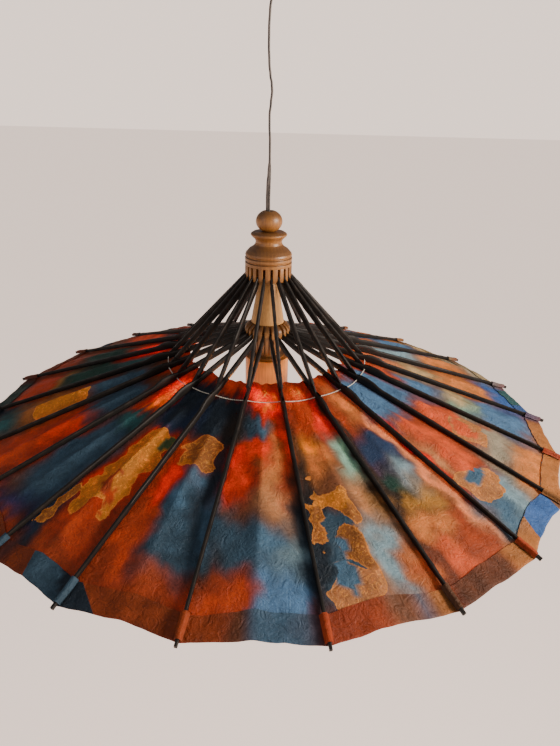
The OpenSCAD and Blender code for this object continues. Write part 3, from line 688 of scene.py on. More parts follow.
# ---------------------------------------------------------------- ribs and stretchers
def bamboo_tree(material):
    """Geometry nodes for a split-bamboo strip along +X: a rounded bar that tapers to its tip, with a
    narrow root, a hump, and the knuckles where the cane's joints were."""
    tree = bpy.data.node_groups.new("bamboo_strip", "GeometryNodeTree")
    for name in ("Length", "Width", "Tip Width", "Root Width", "Back", "Tip Back", "Belly", "Tip Belly",
                 "Hump", "Hump At", "Taper From", "Knuckle Gap", "Seed"):
        tree.interface.new_socket(name, in_out="INPUT", socket_type="NodeSocketFloat")
    tree.interface.new_socket("Geometry", in_out="OUTPUT", socket_type="NodeSocketGeometry")
    given = add(tree, "NodeGroupInput").outputs
    end = add(tree, "ShaderNodeCombineXYZ", {"X": given["Length"]})
    line = add(tree, "GeometryNodeCurvePrimitiveLine", {"End": end.outputs[0]})
    fine = add(tree, "GeometryNodeResampleCurve", {"Curve": line.outputs[0], "Count": 110})
    square = add(tree, "GeometryNodeCurvePrimitiveQuadrilateral", {"Width": 2.0, "Height": 2.0})
    rounded = add(tree, "GeometryNodeFilletCurve", {"Curve": square.outputs[0], "Radius": 0.42, "Count": 2},
                  mode="POLY")
    bar = add(tree, "GeometryNodeCurveToMesh",
              {"Curve": fine.outputs[0], "Profile Curve": rounded.outputs[0], "Fill Caps": True})
    at = add(tree, "ShaderNodeSeparateXYZ", {0: add(tree, "GeometryNodeInputPosition").outputs[0]}).outputs
    taper = add(tree, "ShaderNodeMapRange",
                {"Value": at["X"], "From Min": given["Taper From"], "From Max": given["Length"]}).outputs[0]
    width = add(tree, "ShaderNodeMix", {0: taper, 2: given["Width"], 3: given["Tip Width"]}).outputs[0]
    rooted = add(tree, "ShaderNodeMapRange",
                 {"Value": at["X"], "From Min": 8 * MM, "From Max": 12 * MM}).outputs[0]
    width = add(tree, "ShaderNodeMix", {0: rooted, 2: given["Root Width"], 3: width}).outputs[0]
    half = add(tree, "ShaderNodeMath", {0: width, 1: 0.5}, operation="MULTIPLY").outputs[0]
    back = add(tree, "ShaderNodeMix", {0: taper, 2: given["Back"], 3: given["Tip Back"]}).outputs[0]
    off = add(tree, "ShaderNodeMath", {0: at["X"], 1: given["Hump At"]}, operation="SUBTRACT").outputs[0]
    off = add(tree, "ShaderNodeMath", {0: off}, operation="ABSOLUTE").outputs[0]
    hump = add(tree, "ShaderNodeMapRange",
               {"Value": off, "From Min": 2 * MM, "From Max": 24 * MM, "To Min": given["Hump"],
                "To Max": 0.0},
               interpolation_type="SMOOTHERSTEP").outputs[0]
    back = add(tree, "ShaderNodeMath", {0: back, 1: hump}, operation="ADD").outputs[0]
    belly = add(tree, "ShaderNodeMix", {0: taper, 2: given["Belly"], 3: given["Tip Belly"]}).outputs[0]
    top = add(tree, "ShaderNodeMath", {0: at["Z"], 1: 0.0}, operation="GREATER_THAN").outputs[0]
    deep = add(tree, "ShaderNodeMix", {0: top, 2: belly, 3: back}).outputs[0]
    # a knuckle is a low ring every Knuckle Gap, shifted by the seed
    shift = add(tree, "ShaderNodeMath", {0: given["Seed"], 1: 0.0371, 2: at["X"]},
                operation="MULTIPLY_ADD").outputs[0]
    turn = add(tree, "ShaderNodeMath", {0: shift, 1: given["Knuckle Gap"]}, operation="DIVIDE").outputs[0]
    turn = add(tree, "ShaderNodeMath", {0: turn}, operation="FRACT").outputs[0]
    turn = add(tree, "ShaderNodeMath", {0: turn, 1: 0.5}, operation="SUBTRACT").outputs[0]
    turn = add(tree, "ShaderNodeMath", {0: turn}, operation="ABSOLUTE").outputs[0]
    knuckle = add(tree, "ShaderNodeMapRange",
                  {"Value": turn, "From Min": 0.008, "From Max": 0.035, "To Min": 0.32 * MM, "To Max": 0.0},
                  interpolation_type="SMOOTHSTEP").outputs[0]
    half = add(tree, "ShaderNodeMath", {0: half, 1: knuckle}, operation="ADD").outputs[0]
    deep = add(tree, "ShaderNodeMath", {0: deep, 1: knuckle}, operation="ADD").outputs[0]
    across = add(tree, "ShaderNodeMath", {0: at["Y"], 1: half}, operation="MULTIPLY").outputs[0]
    height = add(tree, "ShaderNodeMath", {0: at["Z"], 1: deep}, operation="MULTIPLY").outputs[0]
    # whittled sides are never quite straight
    spot = add(tree, "ShaderNodeCombineXYZ", {"X": at["X"], "Y": given["Seed"]})
    whittle = add(tree, "ShaderNodeTexNoise", {"Vector": spot.outputs[0], "Scale": 26.0, "Detail": 2.0})
    level = add(tree, "ShaderNodeVectorMath", {0: whittle.outputs["Color"], 1: (0.5, 0.5, 0.5)},
                operation="SUBTRACT").outputs[0]
    stray = add(tree, "ShaderNodeVectorMath", {0: level, 1: (0, 0.8 * MM, 0.5 * MM)},
                operation="MULTIPLY").outputs[0]
    # the pivot ends stay true
    steady = add(tree, "ShaderNodeMapRange",
                 {"Value": at["X"], "From Min": 12 * MM, "From Max": 40 * MM}).outputs[0]
    stray = add(tree, "ShaderNodeVectorMath", {0: stray, "Scale": steady}, operation="SCALE").outputs[0]
    shaped = add(tree, "ShaderNodeCombineXYZ", {"X": at["X"], "Y": across, "Z": height}).outputs[0]
    spot = add(tree, "ShaderNodeVectorMath", {0: shaped, 1: stray}, operation="ADD").outputs[0]
    # the mask is 1 along the two top edges, where the stain is rubbed through and a painted highlight goes
    side = add(tree, "ShaderNodeMath", {0: at["Y"]}, operation="ABSOLUTE").outputs[0]
    corner = add(tree, "ShaderNodeMath", {0: side, 1: at["Z"]}, operation="ADD").outputs[0]
    wear_and_painted_light = add(tree, "ShaderNodeMapRange", {"Value": corner, "From Min": 1.5, "From Max": 1.7}).outputs[0]
    grain = add(tree, "ShaderNodeCombineXYZ", {"X": shift, "Y": across, "Z": height}).outputs[0]
    kept = add(tree, "GeometryNodeStoreNamedAttribute",
               {"Geometry": bar.outputs[0], "Name": "wear_and_painted_light", "Value": wear_and_painted_light}, data_type="FLOAT")
    kept = add(tree, "GeometryNodeStoreNamedAttribute",
               {"Geometry": kept.outputs[0], "Name": "grain", "Value": grain}, data_type="FLOAT_VECTOR")
    moved = add(tree, "GeometryNodeSetPosition", {"Geometry": kept.outputs[0], "Position": spot})
    real = add(tree, "GeometryNodeRealizeInstances", {"Geometry": moved.outputs[0]})
    coated = add(tree, "GeometryNodeSetMaterial", {"Geometry": real.outputs[0], "Material": material})
    add(tree, "NodeGroupOutput", {"Geometry": coated.outputs[0]})
    return tree


def grown(tree, inputs, start=None, cutters=()):
    """The plain mesh that a geometry node tree makes with these named inputs, less the cutters."""
    seed = linked("seed", start or bpy.data.meshes.new("seed"))
    nodes = seed.modifiers.new("nodes", "NODES")
    nodes.node_group = tree
    for item in tree.interface.items_tree:
        if item.item_type == "SOCKET" and item.in_out == "INPUT" and item.name in inputs:
            nodes[item.identifier] = inputs[item.name]
    for cutter in cutters:
        cut = seed.modifiers.new("cut", "BOOLEAN")
        cut.operation = "DIFFERENCE"
        cut.solver = "EXACT"
        cut.object = cutter
    return plain_mesh(seed)


def stained_bamboo(name, dark, top_edge_wear_and_highlight_code):
    """Split bamboo, stained black and waxed: fine lengthwise grain under a satin skin, and along the top
    edges a lighter colour that is partly stain rubbed through and partly painted highlight."""
    material, tree, shader = new_material(name)
    grain = add(tree, "ShaderNodeAttribute", attribute_name="grain").outputs["Vector"]
    wear_and_painted_light = add(tree, "ShaderNodeAttribute", attribute_name="wear_and_painted_light").outputs["Fac"]
    # bamboo fibres are about 0.4 mm across and 40 mm long
    along = add(tree, "ShaderNodeVectorMath", {0: grain, 1: (1 / 40, 1, 1)}, operation="MULTIPLY").outputs[0]
    fibre = add(tree, "ShaderNodeTexNoise",
                {"Vector": along, "Scale": 1 / (0.9 * MM), "Detail": 3.0}).outputs["Fac"]
    rub = add(tree, "ShaderNodeTexNoise",
              {"Vector": grain, "Scale": 1 / (14 * MM), "Detail": 4.0}).outputs["Fac"]
    tone = add(tree, "ShaderNodeValToRGB", {"Fac": fibre},
               stops=((0.3, dark), (0.75, "#1c1612")))
    # lighter colour in patches along the top edges: rubbed stain and painted highlight
    bare = add(tree, "ShaderNodeMapRange", {"Value": rub, "From Min": 0.42, "From Max": 0.7}).outputs[0]
    bare = add(tree, "ShaderNodeMath", {0: bare, 1: wear_and_painted_light}, operation="MULTIPLY").outputs[0]
    coat = add(tree, "ShaderNodeMix", {0: bare, 6: tone.outputs["Color"], 7: colour(top_edge_wear_and_highlight_code)},
               data_type="RGBA")
    tree.links.new(coat.outputs[2], shader.inputs["Base Color"])
    gloss = add(tree, "ShaderNodeMapRange", {"Value": fibre, "To Min": 0.42, "To Max": 0.7}).outputs[0]
    shader.inputs["Specular IOR Level"].default_value = 0.28
    tree.links.new(gloss, shader.inputs["Roughness"])
    bump = add(tree, "ShaderNodeBump", {"Height": fibre, "Distance": 0.15 * MM, "Strength": 0.5})
    tree.links.new(bump.outputs["Normal"], shader.inputs["Normal"])
    return material


def frame_at(k, pivot_r, pivot_z, slope):
    """The place of a strip that starts at a pivot on rib k's line and runs down and out at a slope."""
    turn = Matrix.Rotation(float(rib_azimuth(k)) - math.pi / 2, 4, "Z")
    return turn @ Matrix.Translation((pivot_r, 0, pivot_z)) @ Matrix.Rotation(slope, 4, "Y")


def slot_cutter(start, end, width):
    """A block that cuts the slot for a tongue, along +X."""
    points = [(x, y, z) for x in (start, end) for y in (-width / 2, width / 2) for z in (-0.01, 0.02)]
    faces = [(0, 1, 3, 2), (4, 6, 7, 5), (0, 4, 5, 1), (2, 3, 7, 6), (0, 2, 6, 4), (1, 5, 7, 3)]
    block = linked("slot", new_mesh("slot", points, faces))
    return block


def bamboo_frame():
    """The ribs, forked where the stretchers' tongues enter them, and the stretchers."""
    black = stained_bamboo("black_stained_bamboo", "#080706", "#2e2721")
    # the stretchers' copy has a lighter top-edge colour: rubbed stain and a brighter painted highlight
    brown = stained_bamboo("black_bamboo_brighter_rub_and_highlight", "#0a0807", "#3c322a")
    ribs, stretchers = bamboo_tree(black), bamboo_tree(brown)
    fork = slot_cutter(JOINT_ALONG - 17.5 * MM, JOINT_ALONG + 6 * MM, 2.4 * MM)
    # a tongue 1.6 mm thick is left between these two
    tongue = [slot_cutter(STRETCHER_LENGTH - 16 * MM, STRETCHER_LENGTH + 5 * MM, 9 * MM) for _ in range(2)]
    for block, side in zip(tongue, (-1, 1)):
        block.data.transform(Matrix.Translation((0, side * 5.3 * MM, 0)))
    for k in range(1, RIB_COUNT + 1):
        rib = grown(ribs, {"Length": RIB_LENGTH, "Width": 4.2 * MM, "Tip Width": 2.8 * MM,
                           "Root Width": 2.7 * MM, "Back": 4.2 * MM, "Tip Back": 2.2 * MM, "Belly": 3 * MM,
                           "Tip Belly": 2 * MM, "Hump": 3.2 * MM, "Hump At": JOINT_ALONG + 12 * MM,
                           "Taper From": JOINT_ALONG + 60 * MM, "Knuckle Gap": 0.19, "Seed": 1.7 * k},
                    cutters=[fork])
        rib.transform(frame_at(k, PIVOT_R, PIVOT_Z, SLOPE))
        rib.set_sharp_from_angle(angle=math.radians(40))
        finished(f"rib_strip_{k:02d}", rib, f"rib_{k:02d}", "stained_bamboo", black, f"rib_{k:02d}")
        strut = grown(stretchers, {"Length": STRETCHER_LENGTH + 2.2 * MM, "Width": 3.8 * MM,
                                   "Tip Width": 3.8 * MM, "Root Width": 2.7 * MM, "Back": 4.4 * MM,
                                   "Tip Back": 2.6 * MM, "Belly": 4.4 * MM, "Tip Belly": 2.6 * MM,
                                   "Hump": 0.0,
                                   "Hump At": 0.0, "Taper From": 0.01, "Knuckle Gap": 0.23,
                                   "Seed": 2.3 * k + 5},
                      cutters=tongue)
        strut.transform(frame_at(k, STRETCHER_R, STRETCHER_PIVOT.z, STRETCHER_SLOPE))
        strut.set_sharp_from_angle(angle=math.radians(40))
        finished(f"stretcher_strip_{k:02d}", strut, f"stretcher_{k:02d}", "bamboo_strip", brown,
                 f"stretcher_{k:02d}")
    for block in [fork] + tongue:
        bpy.data.objects.remove(block)


# ---------------------------------------------------------------- threads
def thread_tree(material):
    """Geometry nodes for a two-ply thread along the start mesh's edges."""
    tree = bpy.data.node_groups.new("two_ply_thread", "GeometryNodeTree")
    tree.interface.new_socket("Geometry", in_out="INPUT", socket_type="NodeSocketGeometry")
    for name in ("Ply Radius", "Twist Length", "Step"):
        tree.interface.new_socket(name, in_out="INPUT", socket_type="NodeSocketFloat")
    tree.interface.new_socket("Geometry", in_out="OUTPUT", socket_type="NodeSocketGeometry")
    given = add(tree, "NodeGroupInput").outputs
    line = add(tree, "GeometryNodeMeshToCurve", {0: given["Geometry"]})
    fine = add(tree, "GeometryNodeResampleCurve", {"Curve": line.outputs[0], "Length": given["Step"]},
               mode="LENGTH")
    along = add(tree, "GeometryNodeSplineParameter").outputs["Length"]
    turns = add(tree, "ShaderNodeMath", {0: along, 1: given["Twist Length"]}, operation="DIVIDE").outputs[0]
    turns = add(tree, "ShaderNodeMath", {0: turns, 1: TAU}, operation="MULTIPLY").outputs[0]
    twisted = add(tree, "GeometryNodeSetCurveTilt", {"Curve": fine.outputs[0], "Tilt": turns})
    ply = add(tree, "GeometryNodeCurvePrimitiveCircle", {"Resolution": 7, "Radius": given["Ply Radius"]})
    near = add(tree, "ShaderNodeCombineXYZ", {"X": given["Ply Radius"]}).outputs[0]
    far = add(tree, "ShaderNodeVectorMath", {0: near, "Scale": -1.0}, operation="SCALE").outputs[0]
    first = add(tree, "GeometryNodeTransform", {"Geometry": ply.outputs[0], "Translation": near})
    second = add(tree, "GeometryNodeTransform", {"Geometry": ply.outputs[0], "Translation": far})
    pair = add(tree, "GeometryNodeJoinGeometry")
    tree.links.new(first.outputs[0], pair.inputs[0])
    tree.links.new(second.outputs[0], pair.inputs[0])
    rope = add(tree, "GeometryNodeCurveToMesh",
               {"Curve": twisted.outputs[0], "Profile Curve": pair.outputs[0], "Fill Caps": True})
    soft = add(tree, "GeometryNodeSetShadeSmooth", {"Geometry": rope.outputs[0]})
    real = add(tree, "GeometryNodeRealizeInstances", {"Geometry": soft.outputs[0]})
    coated = add(tree, "GeometryNodeSetMaterial", {"Geometry": real.outputs[0], "Material": material})
    add(tree, "NodeGroupOutput", {"Geometry": coated.outputs[0]})
    return tree


def cotton(name, light, dark, size):
    """Twisted cotton: matt, with fine fuzzy strands and a little grime in the twist."""
    material, tree, shader = new_material(name)
    place = add(tree, "ShaderNodeTexCoord").outputs["Object"]
    fuzz = add(tree, "ShaderNodeTexNoise", {"Vector": place, "Scale": 1 / size, "Detail": 3.0}).outputs["Fac"]
    tone = add(tree, "ShaderNodeValToRGB", {"Fac": fuzz},
               stops=((0.3, dark), (0.65, light)))
    tree.links.new(tone.outputs["Color"], shader.inputs["Base Color"])
    shader.inputs["Roughness"].default_value = 0.85
    shader.inputs["Sheen Weight"].default_value = 0.3
    bump = add(tree, "ShaderNodeBump", {"Height": fuzz, "Distance": 0.1 * MM, "Strength": 0.5})
    tree.links.new(bump.outputs["Normal"], shader.inputs["Normal"])
    return material


def loop_mesh(points, closed=True):
    """A chain of edges through the points."""
    count = len(points)
    mesh = bpy.data.meshes.new("chain")
    edges = [(i, (i + 1) % count) for i in range(count if closed else count - 1)]
    mesh.from_pydata([tuple(p) for p in points], edges, [])
    return mesh


def threads():
    """The white thread through the joints, the dark binding of both hubs and the thread of the hem, which
    also stands in for the shadow along the hem's inner edge.
    """
    white = cotton("twisted_white_cotton", "#e6e0d2", "#a89f8e", 1.2 * MM)
    dark = cotton("twisted_dark_cotton", "#2c2622", "#14110f", 1.2 * MM)
    white_tree, dark_tree = thread_tree(white), thread_tree(dark)
    points = []
    for k in range(1, RIB_COUNT + 1):
        here, after = (at_rib(n, JOINT_ALONG, 0, 0) for n in (k, k % RIB_COUNT + 1))
        slack = (1.2 + 1.6 * (0.5 + 0.5 * math.sin(k * 2.7))) * MM
        for step in range(6):
            t = step / 6
            points.append(here.lerp(after, t) - Vector((0, 0, slack * 4 * t * (1 - t))))
    ring = grown(white_tree, {"Ply Radius": 0.38 * MM, "Twist Length": 5 * MM, "Step": 1.3 * MM},
                 loop_mesh(points))
    white_ring = finished("joint_thread_ring", ring, "lamp", "white_cotton", white, "joint_thread")
    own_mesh(white_ring)
    for name, body, radius, height in (("upper_hub_thread", "upper_hub", STRETCHER_R, STRETCHER_PIVOT.z),
                                       ("lower_hub_thread", "lamp", PIVOT_R, PIVOT_Z)):
        circle = [(radius * math.cos(a), radius * math.sin(a), height) for a in np.linspace(0, TAU, 96,
                                                                                            False)]
        ring = grown(dark_tree, {"Ply Radius": 0.3 * MM, "Twist Length": 4 * MM, "Step": 1 * MM},
                     loop_mesh(circle))
        finished(name + "_binding", ring, body, "dark_thread", dark, name)
    # the hem was stitched again from rib 03 round to the back; this dark thread also stands in for the shadow
    # line along the hem's inner edge
    place = np.arange(3.06, 12, 1 / 14)
    inset = HEM_WIDTH * (1 + 0.05 * waves(place, place * 0, 0.7, 6))
    radius = rim_radius(place) - inset + 0.5 * MM * waves(place, place * 0, 0.22, 8)
    height = paper_height(place, radius) + 1.25 * MM
    angle = azimuth_at(place)
    line = np.stack([radius * np.sin(angle), -radius * np.cos(angle), height], -1)
    ring = grown(dark_tree, {"Ply Radius": 0.26 * MM, "Twist Length": 5 * MM, "Step": 2.2 * MM},
                 loop_mesh(line, closed=False))
    hem_ring = finished("hem_thread_and_shadow_line", ring, "lamp", "dark_thread", dark)
    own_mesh(hem_ring)


# ---------------------------------------------------------------- turned wood and fittings
def rounded(outline, radius):
    """A closed outline of (radius, height) points with its corners eased."""
    eased = []
    for before, here, after in zip(outline[-1:] + outline[:-1], outline, outline[1:] + outline[:1]):
        before, here, after = Vector(before), Vector(here), Vector(after)
        back, on = before - here, after - here
        turn = back.angle(on, math.pi)
        if here.x < 1e-6 or turn > math.radians(160):
            eased.append(tuple(here))
            continue
        first = here + back.normalized() * min(radius, back.length * 0.4)
        last = here + on.normalized() * min(radius, on.length * 0.4)
        for t in (0, 0.35, 0.65, 1):
            eased.append(tuple(first * (1 - t) ** 2 + here * 2 * t * (1 - t) + last * t ** 2))
    return eased


def lathe(outline, steps=96):
    """Points and faces of a closed outline of (radius, height) turned round the Z axis."""
    points, rings = [], []
    for radius, height in outline:
        if radius < 1e-6:
            rings.append([len(points)])
            points.append((0, 0, height))
            continue
        rings.append(list(range(len(points), len(points) + steps)))
        points += [(radius * math.cos(TAU * s / steps), radius * math.sin(TAU * s / steps), height)
                   for s in range(steps)]
    faces = []
    for here, after in zip(rings, rings[1:] + rings[:1]):
        for s in range(steps):
            corners = [here[s % len(here)], here[(s + 1) % len(here)],
                       after[(s + 1) % len(after)], after[s % len(after)]]
            corners = list(dict.fromkeys(corners))
            if len(corners) > 2:
                faces.append(corners)
    return points, faces


def teeth(outline, slot, across=4):
    """Wedges between the slots that the ribs lie in, each with this outline of (radius, height)."""
    points, faces = [], []
    count = len(outline)
    for k in range(1, RIB_COUNT + 1):
        start = len(points)
        for radius, height in outline:
            clear = math.asin(slot / 2 / radius)
            first, last = float(rib_azimuth(k)) + clear, float(rib_azimuth(k + 1)) - clear
            for s in range(across + 1):
                angle = first + (last - first) * s / across
                points.append((radius * math.sin(angle), -radius * math.cos(angle), height))
        row = across + 1
        for i in range(count):
            j = (i + 1) % count
            for s in range(across):
                faces.append((start + i * row + s, start + i * row + s + 1, start + j * row + s + 1,
                              start + j * row + s))
        faces.append([start + i * row for i in reversed(range(count))])
        faces.append([start + i * row + across for i in range(count)])
    return points, faces


def joined(*parts):
    """Several lots of points and faces as one."""
    points, faces = [], []
    for more_points, more_faces in parts:
        faces += [[i + len(points) for i in face] for face in more_faces]
        points += more_points
    return points, faces


def outward_faces(mesh):
    """Turns every closed shell's faces outwards."""
    work = bmesh.new()
    work.from_mesh(mesh)
    bmesh.ops.recalc_face_normals(work, faces=work.faces)
    work.to_mesh(mesh)
    work.free()
    return mesh


def bevelled(mesh, width):
    """The mesh with its sharp edges eased."""
    body = linked("work", mesh)
    ease_edges = body.modifiers.new("ease", "BEVEL")
    ease_edges.width = width
    ease_edges.segments = 2
    ease_edges.limit_method = "ANGLE"
    ease_edges.angle_limit = math.radians(50)
    result = plain_mesh(body)
    result.shade_smooth()
    result.set_sharp_from_angle(angle=math.radians(38))
    return result


def turned_wood(name, light, dark, gloss):
    """Beech turned on a lathe and oiled: grain along the axis, fine tool rings, and painted shade on the
    faces that point up.
    """
    material, tree, shader = new_material(name)
    place = add(tree, "ShaderNodeTexCoord").outputs["Object"]
    # year rings about 2 mm apart, seen end on across a block that was cut off centre
    block = add(tree, "ShaderNodeMapping",
                {"Vector": place, "Location": (0.05, 0.03, 0), "Scale": (1, 1, 0.12)})
    rings = add(tree, "ShaderNodeTexWave",
                {"Vector": block.outputs[0], "Scale": 1 / (14 * MM), "Distortion": 2.2, "Detail": 3.0},
                wave_type="RINGS", rings_direction="Z")
    pores = add(tree, "ShaderNodeMapping", {"Vector": place, "Scale": (1, 1, 0.06)})
    pore = add(tree, "ShaderNodeTexNoise",
               {"Vector": pores.outputs[0], "Scale": 1 / (0.9 * MM), "Detail": 3.0})
    patch = add(tree, "ShaderNodeTexNoise", {"Vector": place, "Scale": 1 / (18 * MM), "Detail": 3.0})
    mixed = add(tree, "ShaderNodeMath", {0: rings.outputs["Fac"], 1: 0.12, 2: pore.outputs["Fac"]},
                operation="MULTIPLY_ADD").outputs[0]
    mixed = add(tree, "ShaderNodeMath", {0: patch.outputs["Fac"], 1: 0.6, 2: mixed},
                operation="MULTIPLY_ADD").outputs[0]
    tone = add(tree, "ShaderNodeValToRGB", {"Fac": mixed},
               stops=((0.45, dark), (1.0, light)))
    # painted shade: faces that point up are darkened, down to 0.4 of the tone
    up = add(tree, "ShaderNodeSeparateXYZ",
             {0: add(tree, "ShaderNodeNewGeometry").outputs["Normal"]}).outputs["Z"]
    painted_shade_on_up_faces = add(tree, "ShaderNodeMapRange",
               {"Value": up, "From Min": 0.05, "From Max": 0.75, "To Min": 1.0, "To Max": 0.4}).outputs[0]
    wear_and_painted_light = add(tree, "ShaderNodeVectorMath", {0: tone.outputs["Color"], "Scale": painted_shade_on_up_faces}, operation="SCALE")
    tree.links.new(wear_and_painted_light.outputs[0], shader.inputs["Base Color"])
    shader.inputs["Roughness"].default_value = gloss
    shader.inputs["Coat Weight"].default_value = 0.12
    shader.inputs["Coat Roughness"].default_value = 0.4
    tool = add(tree, "ShaderNodeMapping", {"Vector": place, "Scale": (0.05, 0.05, 1)})
    lines = add(tree, "ShaderNodeTexNoise",
                {"Vector": tool.outputs[0], "Scale": 1 / (0.8 * MM), "Detail": 2.0})
    height = add(tree, "ShaderNodeMath", {0: lines.outputs["Fac"], 1: pore.outputs["Fac"]},
                 operation="ADD").outputs[0]
    bump = add(tree, "ShaderNodeBump", {"Height": height, "Distance": 0.12 * MM, "Strength": 0.5})
    tree.links.new(bump.outputs["Normal"], shader.inputs["Normal"])
    return material


def metres(outline):
    """An outline in millimetres above the rib pivots, in metres in the frame."""
    return [(r * MM, PIVOT_Z + z * MM) for r, z in outline]


def turned_parts():
    """The ball, the upper hub with its slots and collar, the sleeve, the lower hub and the cup."""
    stained = turned_wood("oiled_turned_beech", "#a06a30", "#6a4020", 0.45)
    bare = turned_wood("bare_turned_beech", "#c8924e", "#9c6a36", 0.55)
    ball_foot, ball_top, ball_r, bore = 132.0, 157.0, 16.6, 4.8
    middle, reach = (ball_foot + ball_top) / 2, 64
    arc = [(ball_r * math.cos(math.radians(a)),
            middle + 12.5 * math.sin(math.radians(a)) / math.sin(math.radians(reach)))
           for a in range(-reach, reach + 1, 4)]
    ball = metres([(bore, ball_foot)] + arc + [(bore + 0.9, ball_top), (bore, ball_top - 1.2)])
    mesh = outward_faces(new_mesh("finial", *lathe(ball, 96), smooth=50))
    finished("turned_finial", mesh, "upper_hub", "turned_wood", stained, "finial_ball")

    slot_foot, slot_top, hub_r, core_r, slot = 73.2, 90.2, 30.0, 19.0, 3.4
    top = rounded(metres([
        (bore, slot_top - 1), (core_r, slot_top - 1), (core_r, slot_top), (hub_r, slot_top),
        (hub_r, slot_top + 4),
        (hub_r - 1.5, slot_top + 4.6), (hub_r - 1.5, slot_top + 5.4), (hub_r + 0.1, slot_top + 6.4),
        (hub_r + 0.1, slot_top + 9.8), (hub_r - 1.5, slot_top + 10.8), (hub_r - 1.5, slot_top + 11.6),
        (hub_r - 0.1, slot_top + 13), (hub_r - 0.9, slot_top + 15.6), (hub_r - 3.4, slot_top + 18.4),
        (24.4, slot_top + 20.8), (20.2, slot_top + 23.2), (17.6, slot_top + 26), (16.7, slot_top + 28.6),
        (16.9, slot_top + 30.6), (18, slot_top + 32.8), (20.6, slot_top + 35.2), (22.6, slot_top + 37),
        (23, slot_top + 38.4), (22.3, slot_top + 39.8), (19.4, slot_top + 41.6), (bore, slot_top + 41.8),
    ]), 0.4 * MM)
    core = metres([(bore, slot_foot), (core_r, slot_foot), (core_r, slot_top - 0.4), (bore, slot_top - 0.4)])
    fingers = metres([(core_r - 1, slot_foot + 0.2), (hub_r, slot_foot), (hub_r, slot_top + 0.4),
                      (core_r - 1, slot_top + 0.4)])
    mesh = outward_faces(new_mesh("upper_hub", *joined(lathe(top), lathe(core), teeth(fingers, slot * MM))))
    finished("slotted_upper_hub", bevelled(mesh, 0.35 * MM), "upper_hub", "turned_wood", stained, "upper_hub")

    dome = 13.73
    sleeve = rounded(metres([(bore, dome), (22, dome), (12, slot_foot), (bore, slot_foot)]), 0.6 * MM)
    mesh = outward_faces(new_mesh("sleeve", *lathe(sleeve)))
    finished("spacer_cone", mesh, "lamp", "bare_wood", bare, "spacer_sleeve")

    foot, waist, tooth_foot, tooth_top = -34.07, 18.4, -4.07, 8.13
    body = rounded(metres([
        (bore, foot), (23.4, foot), (23.4, foot + 1.5), (waist - 2.4, foot + 2.6),
        (waist - 2.4, tooth_foot - 0.6),
        (core_r, tooth_foot), (core_r, dome - 1), (bore, dome),
    ]), 0.4 * MM)
    flute = metres([(waist - 3, foot + 5.4), (waist, foot + 5.4), (waist, tooth_foot - 4),
                    (waist - 1, tooth_foot - 3), (waist - 3, tooth_foot - 3)])
    tooth = metres([(core_r - 1, tooth_foot + 0.2), (hub_r, tooth_foot), (hub_r, tooth_top - 2.6),
                    (hub_r - 0.7, tooth_top - 0.6), (hub_r - 2.4, tooth_top + 1.6),
                    (hub_r - 5, tooth_top + 3.6),
                    (23, dome - 0.4), (core_r - 1, dome)])
    mesh = outward_faces(new_mesh("lower_hub",
                                  *joined(lathe(body), teeth(tooth, slot * MM), teeth(flute, 1.6 * MM))))
    finished("toothed_lower_hub", bevelled(mesh, 0.35 * MM), "lamp", "turned_wood", stained, "lower_hub")

    # the cup's wood tone is pushed to a strong orange as painted warm light from the bulb and the lit paper
    amber = turned_wood("beech_with_painted_lamp_glow", "#d8842c", "#a85c18", 0.4)
    cup = rounded(metres([(bore, foot), (29.4, foot), (29.4, foot - 44), (25, foot - 44), (25, foot - 6),
                          (bore, foot - 6)]), 0.8 * MM)
    mesh = outward_faces(new_mesh("cup", *lathe(cup, 128)))
    finished("turned_lamp_cup", mesh, "lamp", "bare_wood", amber, "lamp_cup")


def plain_finish(name, base, roughness, metallic=0.0, speck=0.9 * MM, depth=0.05 * MM):
    """A moulded or plated surface with a faint unevenness in its tone and gloss."""
    material, tree, shader = new_material(name)
    place = add(tree, "ShaderNodeTexCoord").outputs["Object"]
    fine = add(tree, "ShaderNodeTexNoise",
               {"Vector": place, "Scale": 1 / speck, "Detail": 3.0}).outputs["Fac"]
    broad = add(tree, "ShaderNodeTexNoise",
                {"Vector": place, "Scale": 1 / (20 * MM), "Detail": 3.0}).outputs["Fac"]
    tone = add(tree, "ShaderNodeMapRange", {"Value": broad, "To Min": 0.88, "To Max": 1.12}).outputs[0]
    tint = add(tree, "ShaderNodeVectorMath", {0: colour(base)[:3], "Scale": tone},
               operation="SCALE").outputs[0]
    tree.links.new(tint, shader.inputs["Base Color"])
    gloss = add(tree, "ShaderNodeMapRange",
                {"Value": fine, "To Min": roughness - 0.08, "To Max": roughness + 0.08}).outputs[0]
    tree.links.new(gloss, shader.inputs["Roughness"])
    shader.inputs["Metallic"].default_value = metallic
    bump = add(tree, "ShaderNodeBump", {"Height": fine, "Distance": depth, "Strength": 0.4})
    tree.links.new(bump.outputs["Normal"], shader.inputs["Normal"])
    return material


def lit_glass():
    """Frosted lamp glass, lit from inside: an even warm glow, a little hotter in the middle."""
    material, tree, shader = new_material("frosted_lit_glass")
    place = add(tree, "ShaderNodeTexCoord").outputs["Object"]
    frost = add(tree, "ShaderNodeTexNoise",
                {"Vector": place, "Scale": 1 / (1.5 * MM), "Detail": 2.0}).outputs["Fac"]
    glow = add(tree, "ShaderNodeValToRGB", {"Fac": frost},
               stops=((0, "#ffd9a0"), (1, "#fff0d0")))
    tree.links.new(glow.outputs["Color"], shader.inputs["Emission Color"])
    shader.inputs["Base Color"].default_value = colour("#fff4e2")
    shader.inputs["Emission Strength"].default_value = 3.0
    shader.inputs["Roughness"].default_value = 0.5
    return material


